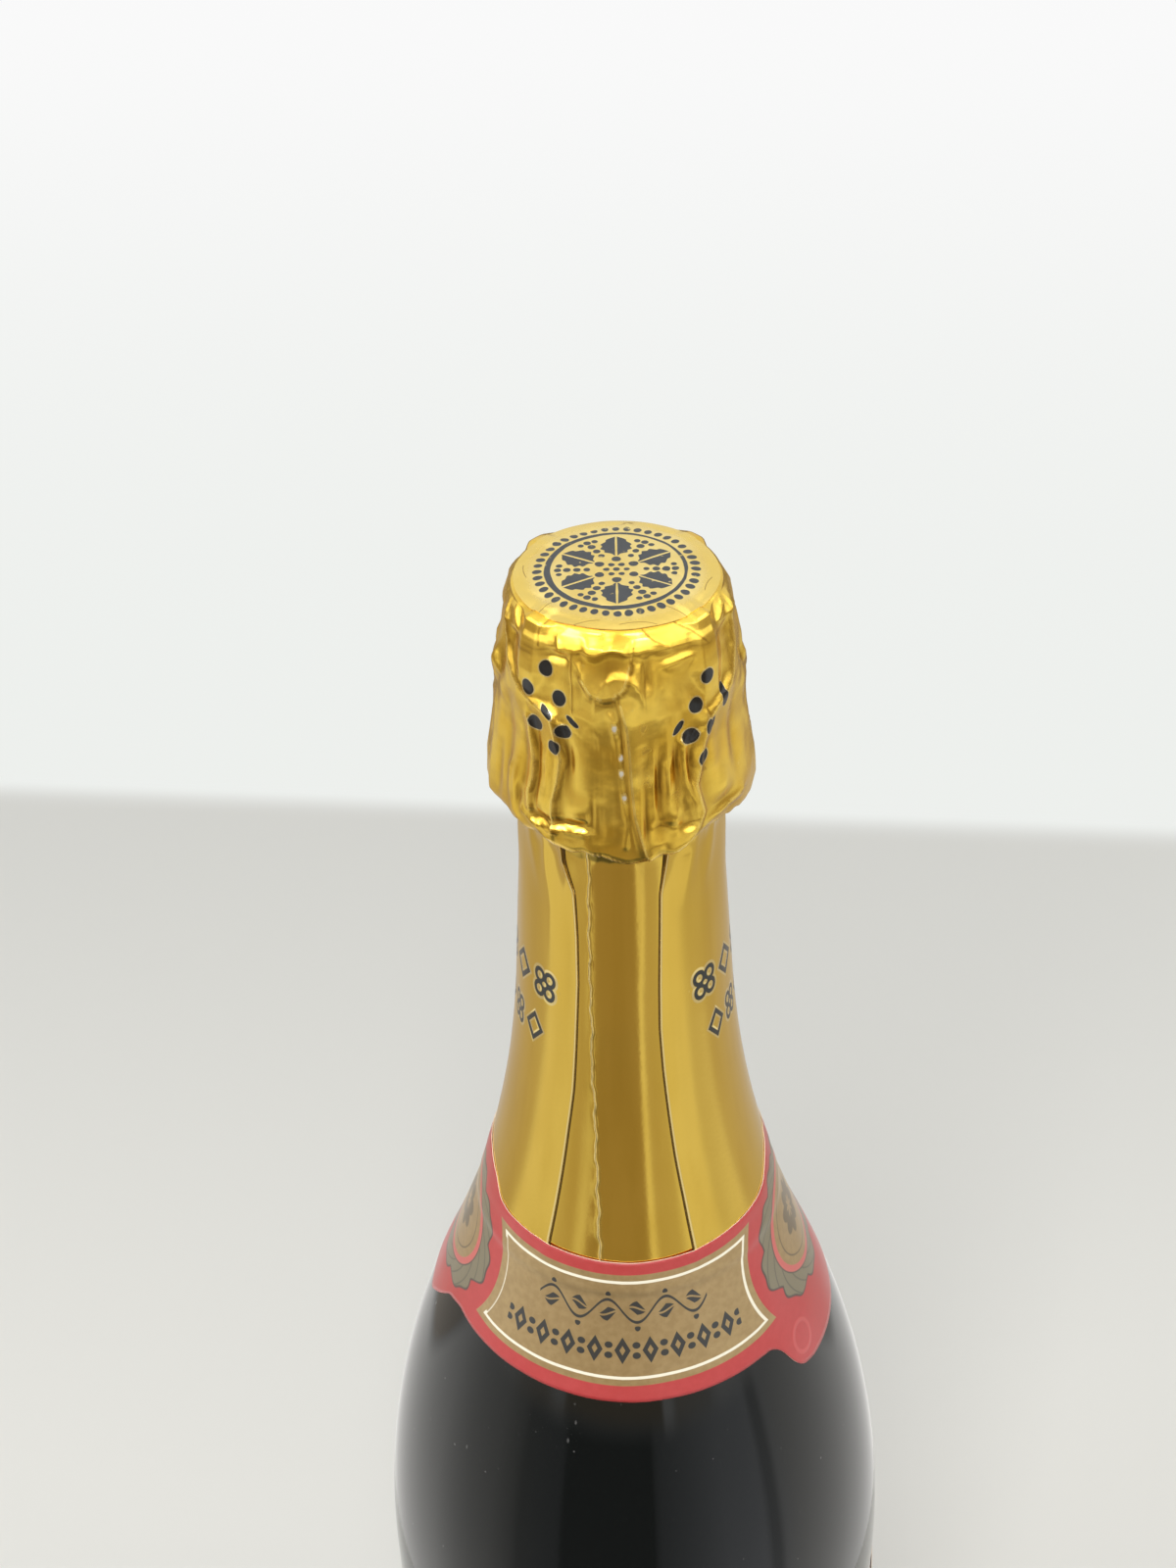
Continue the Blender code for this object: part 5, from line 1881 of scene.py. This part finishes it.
    def drawn_folds(self) -> tuple[Fold, ...]:
        """Random folds: short facets above, long waved flutes below, fewer where the front has its own.

        Returns:
            The folds.
        """
        rng = np.random.default_rng(self.seed)
        folds = []
        for number in range(150):
            turn, depth = rng.uniform(-180.0, 180.0), rng.uniform(4.6, 16.0)
            lean, half = rng.uniform(-1.3, 1.3), rng.uniform(1.0, 2.8)
            across, down = half * math.sin(lean) * 3.4, half * math.cos(lean)
            front = 0.22 if abs(turn) < 74.0 else 1.0
            height = rng.uniform(0.18, 0.5) * front * (1.0 if number % 3 else -0.8)
            bend = rng.uniform(-2.5, 2.5)
            line = ((turn - across, depth - down), (turn + bend, depth), (turn + across, depth + down))
            sides = rng.uniform(0.4, 1.2, 2)
            folds.append(Fold(height, sides[0], sides[1], line, rng.uniform(0.18, 0.6)))
        for number in range(60):
            turn, depth = number * 360.0 / 60.0 + rng.uniform(-2.5, 2.5), rng.uniform(13.0, 22.0)
            length = rng.uniform(7.0, 15.0)
            ends = min(depth + length, 34.5)
            front = 0.0 if abs(turn_from(turn, 0.0)) < 74.0 else 1.0
            wiggle = rng.uniform(-3.6, 3.6, 4)
            line = tuple((turn + w, depth + (ends - depth) * share / 3.0) for share, w in enumerate(wiggle))
            height = rng.uniform(0.35, 0.8) * front * (-0.7 if number % 4 == 0 else 1.0)
            sides = rng.uniform(0.5, 1.4, 2)
            folds.append(Fold(height, sides[0], sides[1], line, rng.uniform(0.18, 0.7)))
        for _ in range(30):
            turn, shift = rng.uniform(-180.0, 180.0), rng.uniform(-7.0, 7.0)
            line = ((turn, rng.uniform(0.9, 1.8)), (turn + shift, rng.uniform(2.6, 3.8)))
            folds.append(Fold(rng.uniform(-0.12, 0.2), rng.uniform(0.15, 0.7), rng.uniform(0.15, 0.7), line))
        return tuple(folds)

    def disc_top(self, turn: Array, radius: Array) -> Array:
        """Depth of the disc's top, domed and drooping towards its edge.

        Args:
            turn: Turns of the places.
            radius: Their radii.

        Returns:
            The depth of each place.
        """
        share = np.clip((radius - 6.0) / (self.disc_radius - 6.0), 0.0, 1.0)
        droop = softly_along(turn, self.droop, 4.0)
        lowest = 0.4 + 0.14 * smooth(radius, 11.2, 13.4)
        droop = np.minimum(droop, lowest + 0.13 * from_leg(turn))
        waves = 0.5 + 0.3 * np.sin(np.radians(turn) * 9.0 + 1.0) + 0.2 * np.sin(np.radians(turn) * 17.0)
        return 0.02 + droop * share**2.8 + 0.05 * waves * smooth(share, 0.4, 1.0)

    def cage_room(self, turn: Array, depth: Array) -> Array:
        """Least radius inside the skirt that clears the cork, the wires and the belt's folded tail.

        Args:
            turn: Turns of the places.
            depth: Their depths.

        Returns:
            The radius of each place.
        """
        room = np.maximum(along(depth, self.ring_room), along(depth, self.leg_room) - 0.12 * from_leg(turn))
        eye = np.hypot(turn * 0.297 / self.eye_reach[0], (depth - self.eye_depth) / self.eye_reach[1])
        room = np.maximum(room, self.eye_radius - 5.0 * np.maximum(eye - 1.0, 0.0))
        beside = np.maximum(np.abs(turn) - self.tail_reach[0], 0.0)
        beyond = np.maximum(np.abs(depth - self.tail_depth) - self.tail_reach[1], 0.0)
        return np.maximum(room, self.tail_radius - 0.9 * beyond - 0.3 * beside)

    def relief(self, turn: Array, depth: Array) -> Array:
        """How far the crumpled foil stands out from its plain shape at each place.

        Args:
            turn: Turns of the places.
            depth: Their depths.

        Returns:
            The rise of each place, below 0 in a hollow.
        """
        angle = np.radians(turn)
        offset = np.zeros_like(depth)
        for fold in self.folds + self.random_folds:
            offset = offset + fold.rise(turn, depth, self.measure_radius)
        waves = 0.04 * np.sin(19.0 * angle + 0.4 + np.sin(depth * 0.17))
        offset = offset + waves * smooth(depth, 6.0, 18.0) - 0.12 * smooth(depth, 5.0, 9.0)
        for *bell, height in self.all_pillows:
            offset = offset + height * mound(turn, depth, *bell)
        offset = offset + along(depth, self.boss) * smooth(np.abs(turn + 6.0), 13.0, 8.0)
        return 0.95 * np.tanh(offset / 0.95) * smooth(depth, 0.6, 2.4)

    def hollows(self, turn: Array, depth: Array) -> Array:
        """How deep each place lies below its surroundings, from 0 to 1.

        Args:
            turn: Turns of the places.
            depth: Their depths.

        Returns:
            The share of each place.
        """
        turns, depths = np.arange(-180.0, 180.0, 0.75), np.arange(0.0, 36.0, 0.375)
        heights = self.relief(*np.meshgrid(turns, depths, indexing="ij"))
        around = np.zeros_like(heights)
        shifts = [(i, j) for i in range(-5, 6) for j in range(-3, 4)]
        for i, j in shifts:
            around += np.roll(heights, (i, j), axis=(0, 1)) / len(shifts)
        below = np.clip((around - heights) / 0.3, 0.0, 1.0)
        across, down = (turn + 180.0) / 0.75, np.clip(depth / 0.375, 0.0, below.shape[1] - 1.001)
        row, column = np.floor(across).astype(int), np.floor(down).astype(int)
        found = np.zeros_like(turn)
        for i, j in ((0, 0), (0, 1), (1, 0), (1, 1)):
            share = (1.0 - np.abs(across - row - i)) * (1.0 - np.abs(down - column - j))
            found += share * below[(row + i) % below.shape[0], column + j]
        return found

    def place(self, u: Array, v: Array) -> Laid:
        """Turn, depth and radius of each point of the skirt.

        Args:
            u: Share of the way across or round.
            v: Share of the way down.

        Returns:
            The three values of each point.
        """
        turn = u * 360.0 - 28.0 * np.sin(2.0 * math.pi * u)
        angle = np.radians(turn)
        rim = softly_along(turn, self.rim, 1.5) + 0.14 * np.sin(angle * 37.0) * np.sin(angle * 5.0)
        rim = rim + 0.16 * hump(turn, -7.0, 6.0) * np.sin(turn * 2.9) * np.sin(turn * 6.1 + 1.0)
        crease = softly_along(turn, self.crease, 1.5)
        under = self.disc_thickness + 0.05
        edge = self.disc_top(turn, np.full_like(turn, self.lap_end)) + under
        lap, shoulder = 0.06, 0.22
        flat_share = np.clip(v / lap, 0.0, 1.0)
        band_share = np.clip((v - lap) / (shoulder - lap), 0.0, 1.0)
        wall_share = np.clip((v - shoulder) / (1.0 - shoulder), 0.0, 1.0)
        on_band = edge + (crease - edge) * band_share
        depth = np.where(v < shoulder, on_band, crease + (rim - crease) * wall_share)
        plain_height = self.rim[0][1] - self.crease[0][1]
        level = (depth - crease) * plain_height / (rim - crease)
        wall = softly_along(level, self.wall, 0.4)
        radius = np.where(v < shoulder, along(band_share, self.band), wall) + self.relief(turn, depth)
        room = self.cage_room(turn, depth) + self.thickness + 0.06
        clear = radius - room
        radius = room + 0.5 * (clear + np.sqrt(clear * clear + 0.03))
        radius = np.maximum(radius - 0.3 * smooth(depth, rim - 0.9, rim), room)
        flat = self.lap_radius + (self.lap_end - self.lap_radius) * flat_share
        flat_depth = self.disc_top(turn, flat) + under
        radius = np.where(v <= lap, flat, np.maximum(radius, self.lap_end))
        return turn, np.where(v <= lap, flat_depth, depth), radius

    def lines(self, turn: Array, depth: Array) -> tuple[Array, Array]:
        """Two masks, from 0 to 1: painted highlights along the crests, and painted shade beside them and in
        thin creases.

        Args:
            turn: Turns of the places.
            depth: Their depths.

        Returns:
            The painted-highlight mask and the painted-shade mask.
        """
        pale, dark = np.zeros_like(turn), np.zeros_like(turn)
        sharp = (fold for fold in self.folds if fold.height > 0.5 or fold.round <= 0.15)
        for fold in sharp:
            distance, side = fold.reach(turn, depth, self.measure_radius)
            if fold.height > 0.5:
                steep = side * (fold.right - fold.left) > 0.0
                pale = np.maximum(pale, hump(distance, 0.0, 0.16))
                dark = np.maximum(dark, 0.75 * hump(distance, 0.5, 0.3) * steep)
            else:
                dark = np.maximum(dark, 0.95 * hump(distance, 0.0, 0.15))
        return pale, dark

    def skirt(self) -> None:
        """Build and dress the skirt."""
        obj = sleeve("crumpled_foil_skirt", self.columns, self.rows, self.place)
        co = points_of(obj) * 1000.0
        turn, depth = turns_of(co), TOP - co[:, 2]
        behind = [InkDot(180.0 + 40.0 * s + t, d) for s in (-1.0, 1.0) for d, t in self.back_dots]
        distances = [dot.distance(turn, depth, self.measure_radius) for dot in (*self.dots, *behind)]
        keep_values(obj, "dots", np.minimum.reduce(distances))
        rim = softly_along(turn, self.rim, 1.5)
        wear_and_crest_highlight = smooth(depth - rim, -0.4, 0.1) * (0.25 + 0.75 * hump(turn, -7.0, 8.0))
        pale, dark = self.lines(turn, depth)
        # The crest highlights are painted highlights, kept with the real wear.
        wear_and_crest_highlight = np.maximum(wear_and_crest_highlight, pale * 0.45)
        for spot_turn, spot_depth in self.rubs:
            near = np.hypot(turn_from(turn, spot_turn) * 0.3, (depth - spot_depth) * 0.6)
            wear_and_crest_highlight = np.maximum(wear_and_crest_highlight, smooth(near, 0.55, 0.2))
        keep_values(obj, "wear_and_crest_highlight", wear_and_crest_highlight)
        stains = [mound(turn, depth, *spot, 3.2, 1.3) for spot in self.stains]
        keep_values(obj, "stain", np.maximum.reduce(stains))
        # Painted shade, kept in the hollow attribute: under the shoulder crease, beside steep crests, in thin
        # creases and hollows, on the boss, on the middle front and in the dents.
        under_band = depth - softly_along(turn, self.crease, 1.5) - 0.3
        crease = np.exp(-(under_band / 0.32) ** 2) * (0.55 + 0.3 * np.sin(turn * 0.21) * np.sin(turn * 0.53))
        shades = [crease, dark, self.hollows(turn, depth)]
        shades.append(0.75 * mound(turn, depth, -4.0, 4.8, 8.5, 2.0))
        shades.append(0.28 * mound(turn, depth, -10.0, 20.0, 8.0, 8.0))
        shades += [-1.25 * height * mound(turn, depth, *bell) for *bell, height in self.all_pillows]
        keep_values(obj, "hollow", np.maximum.reduce(shades))
        thickened(obj, self.thickness)
        dress(obj, "foil_cap", "bright_gold_foil", ["cap_foil"], BrightGoldFoil().material())

    def disc(self) -> None:
        """Build and dress the printed disc."""
        over = [(r, TOP) for r in np.linspace(0.0, self.disc_radius, 48).tolist()]
        under = [(r, TOP - self.disc_thickness) for r in np.linspace(self.disc_radius, 0.0, 12).tolist()]
        obj = spun("printed_top_disc", over + under, 192)
        co = points_of(obj)
        x, y = co[:, 0] / MM, co[:, 1] / MM
        radius = np.hypot(x, y)
        dent = 0.03 * (1.0 + np.sin(x * 0.7 + 1.0) * np.sin(y * 0.54)) * smooth(radius, 13.4, 10.0)
        tip = 0.33 * mound(x, y, 1.6, 11.6, 0.5, 0.7)
        lines = sum(self.dent_line(x, y, a, b) for a, b in self.dents)
        co[:, 2] -= (self.disc_top(turns_of(co), radius) + dent - tip + lines) * MM
        move_points(obj, co)
        dress(obj, "foil_cap", "printed_disc", ["cap_foil_disc"], PrintedDisc().material())

    @staticmethod
    def dent_line(x: Array, y: Array, a: Point, b: Point) -> Array:
        """A shallow pressed line from one point of the disc to another.

        Args:
            x: Millimetres across.
            y: Millimetres along.
            a: The line's start.
            b: Its end.

        Returns:
            How deep it lies at each place.
        """
        run, fall = b[0] - a[0], b[1] - a[1]
        share = np.clip(((x - a[0]) * run + (y - a[1]) * fall) / (run * run + fall * fall), 0.0, 1.0)
        distance = np.hypot(x - a[0] - share * run, y - a[1] - share * fall)
        return 0.16 * np.exp(-distance / 0.35) * np.sin(share * math.pi)

    def build(self) -> None:
        """Build the skirt and the disc."""
        self.skirt()
        self.disc()


# Studio

@dataclass
class Studio:
    """Pale floor, white surroundings, soft lamps, a reflecting tent and the camera."""

    floor_color: Color = (0.75, 0.74, 0.69)
    haze: Color = (0.85, 0.87, 0.845)
    white: Color = (0.95, 0.95, 0.95)
    horizon_y: float = 0.3515
    horizon_slope: float = -0.0942
    camera_place: Color = (0.0, -0.25, 0.4753)
    lens: float = 51.5
    pitch: float = 37.31
    roll: float = -1.75
    yaw: float = -1.05
    tent_radius: float = 0.12
    tent_height: float = 0.345
    far_radius: float = 0.9
    far_heights: Point = (0.5, 2.0)
    glass_tones: Table = (
        (-180, 1), (-120, 1), (-86, 0.9), (-70, 0.68), (-56, 0.55), (-47, 0.38), (-44, 0.27), (-28.5, 0.22),
        (-26.5, 0.1), (7, 0.1), (9, 0.26), (22, 0.42), (34, 0.6), (49, 0.66), (52, 0.42), (55, 0.42),
        (58, 0.7), (80, 0.84), (97, 0.95), (120, 1), (180, 1),
    )
    neck_tones: Table = (
        (-180, 0.56), (-100, 0.56), (-86, 0.6), (-79, 0.84), (-58, 0.82), (-51, 0.6), (-40, 0.54),
        (-34, 0.74), (-31, 0.68), (-29, 0.38), (13, 0.38), (14, 0.92), (17, 0.86), (19, 0.56), (34, 0.6),
        (40, 0.86), (60, 0.84), (66, 0.64), (100, 0.58), (180, 0.56),
    )
    low_tones: Table = (
        (-180, 0.34), (-145, 0.38), (-120, 0.9), (-85, 1.1), (-58, 1), (-40, 0.7), (-26, 0.3), (30, 0.26),
        (46, 0.36), (58, 0.95), (90, 1.1), (115, 0.9), (140, 0.38), (180, 0.34),
    )
    cap_tones: Table = (
        (-180, 0.5), (-150, 0.5), (-125, 0.68), (-95, 0.7), (-70, 0.68), (-45, 0.95), (-20, 0.9), (-5, 0.8),
        (12, 0.95), (40, 1.15), (58, 0.65), (75, 0.88), (105, 0.74), (130, 0.5), (155, 0.5), (180, 0.5),
    )
    cap_rise: Table = (
        (0.2, 0.55), (0.235, 0.75), (0.253, 0.92), (0.268, 0.8), (0.285, 0.52), (0.303, 0.48), (0.32, 0.9),
        (0.5, 1.1),
    )
    high_tones: Table = (
        (-180, 0.84), (-120, 0.88), (-90, 1.8), (-40, 2.3), (40, 2.3), (80, 1.8), (115, 0.88), (180, 0.84),
    )

    def floor(self) -> None:
        """A matt floor that fades into the white behind the bottle and keeps the shadow."""
        deselect()
        bpy.ops.mesh.primitive_grid_add(x_subdivisions=8, y_subdivisions=8, size=8.0)
        floor = in_place(named("studio_floor"))
        paint = Paint("pale_floor")
        past = paint.y - paint.x * self.horizon_slope - self.horizon_y
        mottle = paint.noise(3.0, 4.0) * 0.5
        # Painted shade: the floor darkens towards the horizon.
        far = (past.step(-0.34, 0.0) * 0.5, (0.64, 0.64, 0.6))
        tone = paint.layers(self.floor_color, (mottle, (0.77, 0.76, 0.715)), far)
        diffuse = paint.node("BsdfDiffuse", {}, {"Color": tone})
        horizon = past.step(-0.005, 0.011)
        wall = paint.mix(past.step(0.0, 0.85), self.haze, self.white)
        white = paint.glow(paint.mix(horizon, (0.74, 0.745, 0.72), wall))
        fade = horizon.most(paint.x.hypot(paint.y).step(0.55, 1.3))
        paint.show(paint.node("MixShader", {}, {0: fade, 1: diffuse, 2: white}))
        floor.data.materials.append(paint.material)

    def world(self) -> None:
        """White surroundings to the camera and in reflections, softer as a light."""
        world = bpy.data.worlds.new("soft_white_room")
        bpy.context.scene.world = world
        sky = Tree(world)
        kinds = ("Camera", "Glossy", "Transmission")
        rays = [sky.node("LightPath", {}, {}, f"Is {kind} Ray") for kind in kinds]
        height = sky.node("SeparateXYZ", {}, {0: sky.node("TexCoord", {}, {}, "Generated")}, "Z")
        rise = sky.node("MapRange", {}, {"Value": height, "From Min": -0.62, "From Max": -0.34})
        backdrop = sky.node("Background", {}, {"Color": sky.mix(rise, self.haze, self.white)})
        room = sky.node("Background", {}, {"Color": (0.97, 0.98, 1.0), "Strength": 0.5})
        mixed = sky.node("MixShader", {}, {0: reduce(Field.most, rays), 1: room, 2: backdrop})
        sky.show(mixed, "OutputWorld")

    def reflected_only(self, obj: Piece, paint: Paint, tone: Field) -> None:
        """Make a stage piece glow, and show it in reflections only.

        Args:
            obj: The piece.
            paint: Its material, still open.
            tone: What it gives off.
        """
        paint.show(paint.glow(tone))
        obj.data.materials.append(paint.material)
        obj.visible_camera = False
        obj.visible_diffuse = False
        obj.visible_shadow = False
        obj.visible_transmission = False

    def tube(self, name: str, radius: float, low: float, high: float) -> tuple[Piece, Paint]:
        """An open tube round the bottle, and its material to fill in.

        Args:
            name: The name of both.
            radius: The tube's radius.
            low: Height of its foot.
            high: Height of its head.

        Returns:
            The tube and the material.
        """
        def place(u: Array, v: Array) -> Laid:
            """Turn, depth and radius of the tube's points."""
            return u * 360.0, TOP - (high - (high - low) * v) / MM, np.full_like(u, radius / MM)

        return sleeve(name, 96, 2, place), Paint(name)

    def card(self, name: str, size: Point, place: Color, tilt: float = 0.0) -> tuple[Piece, Paint]:
        """A flat card, and its material to fill in.

        Args:
            name: The name of both.
            size: The card's width and length.
            place: Its middle.
            tilt: Degrees by which its far edge is raised.

        Returns:
            The card and the material.
        """
        deselect()
        bpy.ops.mesh.primitive_grid_add(x_subdivisions=4, y_subdivisions=4, size=1.0)
        card = named(name)
        card.scale = (*size, 1.0)
        card.rotation_euler = (math.radians(tilt), 0.0, 0.0)
        card.location = place
        return in_place(card), Paint(name)

    def tent(self) -> None:
        """A round cloth tent: darker by the camera, paler beside and behind."""
        tent, paint = self.tube("reflected_tent", self.tent_radius, 0.0, self.tent_height)
        turn = paint.turn()
        tables = (self.glass_tones, self.neck_tones, self.low_tones, self.cap_tones, self.high_tones)
        glass, neck, low, cap, high = (turn.curve(table) for table in tables)
        at_neck = (paint.z + abs(turn).step(80.0, 115.0, 0.0, 0.055)).step(0.155, 0.17)
        at_cap = paint.z.step(0.215, 0.23)
        cap = (low + (cap - low) * paint.z.step(0.24, 0.264)) * paint.z.curve(self.cap_rise)
        cap = cap + (high - cap) * paint.z.step(0.306, 0.33)
        grey = glass + (neck - glass) * at_neck
        grey = grey + (cap - grey) * at_cap
        warm = (0.75 - grey).step(0.0, 0.4) * at_neck
        cool = abs(turn - 8.0).step(36.0, 60.0, 1.0, 0.0) * (1.0 - at_neck)
        tint = paint.layers((1.0, 0.985, 0.95), (warm, (1.0, 0.80, 0.58)), (cool, (0.93, 0.95, 1.0)))
        self.reflected_only(tent, paint, paint.scaled(tint, grey))

    def room(self) -> None:
        """The bright room above the tent, with a window in front, seen only in reflections."""
        room, paint = self.tube("reflected_room", self.far_radius, *self.far_heights)
        turn = paint.turn()
        window = abs(turn + 20.0).step(24.0, 62.0, 18.0, 0.0) * paint.z.step(0.68, 0.95)
        tone = turn.curve(self.high_tones) + window
        self.reflected_only(room, paint, paint.scaled((1.0, 0.985, 0.95), tone))

    def mat(self) -> None:
        """A dark mat before the bottle, seen only in the glass."""
        mat, paint = self.card("dark_floor_mat", (0.16, 0.08), (0.0, -0.085, 0.0004))
        across = abs(paint.x + 0.012) * 1000.0 + paint.y * 180.0
        tone = across.step(2.0, 48.0, 0.13, 0.62)
        self.reflected_only(mat, paint, paint.scaled((1.0, 0.92, 0.85), tone))

    def ceiling(self) -> None:
        """A bright card overhead, seen only in reflections."""
        card, paint = self.card("ceiling_card", (0.8, 0.9), (-0.02, -0.02, 0.8), 12.0)
        away = (paint.x + 0.1).hypot(paint.y + 0.2)
        tone = away.step(0.04, 0.2, 2.4, 1.4) + away.step(0.03, 0.09, 7.0, 0.0)
        self.reflected_only(card, paint, paint.scaled((1.0, 0.98, 0.93), tone))

    def lamp(self, name: str, place: Color, aim: float, size: float, power: float) -> None:
        """A soft square lamp that points at a height on the bottle's axis.

        Args:
            name: Its name.
            place: Where it hangs.
            aim: The height.
            size: Its width.
            power: Its power in watts.
        """
        light = bpy.data.lights.new(name, "AREA")
        light.size = size
        light.energy = power
        obj = linked(name, light)
        obj.location = place
        obj.rotation_euler = (Vector((0.0, 0.0, aim)) - Vector(place)).to_track_quat("-Z", "Y").to_euler()

    def lamps(self) -> None:
        """A large lamp above and two beside."""
        self.lamp("overhead_lamp", (-0.12, -0.72, 1.12), 0.25, 0.55, 8.0)
        self.lamp("left_lamp", (-0.9, -0.1, 0.8), 0.2, 0.7, 3.2)
        self.lamp("right_lamp", (0.9, 0.1, 0.8), 0.2, 0.7, 3.2)

    def camera(self) -> None:
        """The camera at the photograph's viewing angle."""
        data = bpy.data.cameras.new("photo_camera")
        data.lens = self.lens
        data.sensor_width = 36.0
        data.clip_start = 0.01
        obj = linked("photo_camera", data)
        pitch, roll, yaw = (math.radians(a) for a in (self.pitch, self.roll, self.yaw))
        forward = Vector((math.sin(yaw) * math.cos(pitch), math.cos(yaw) * math.cos(pitch), -math.sin(pitch)))
        level = Vector((math.cos(yaw), -math.sin(yaw), 0.0))
        up = level.cross(forward)
        right = level * math.cos(roll) + up * math.sin(roll)
        above = up * math.cos(roll) - level * math.sin(roll)
        axes = Matrix((right, above, -forward)).transposed().to_4x4()
        axes.translation = Vector(self.camera_place)
        obj.matrix_world = axes
        bpy.context.scene.camera = obj

    def build(self) -> None:
        """Set up the whole studio."""
        self.floor()
        self.world()
        self.tent()
        self.room()
        self.mat()
        self.ceiling()
        self.lamps()
        self.camera()
        bpy.context.scene.view_settings.view_transform = "Standard"


def main() -> None:
    """Build every piece round the frame, then the studio."""
    logging.basicConfig(level=logging.INFO, format="%(name)s: %(message)s")
    glass = GlassBottle()
    for part in (glass, NeckFoil(glass), CollarLabel(glass), FrontLabel(), Cork(), WireCage(), FoilCap()):
        log.info("building %s", type(part).__name__)
        part.build()
    Studio().build()
    bpy.context.view_layer.update()


if __name__ == "__main__":
    main()
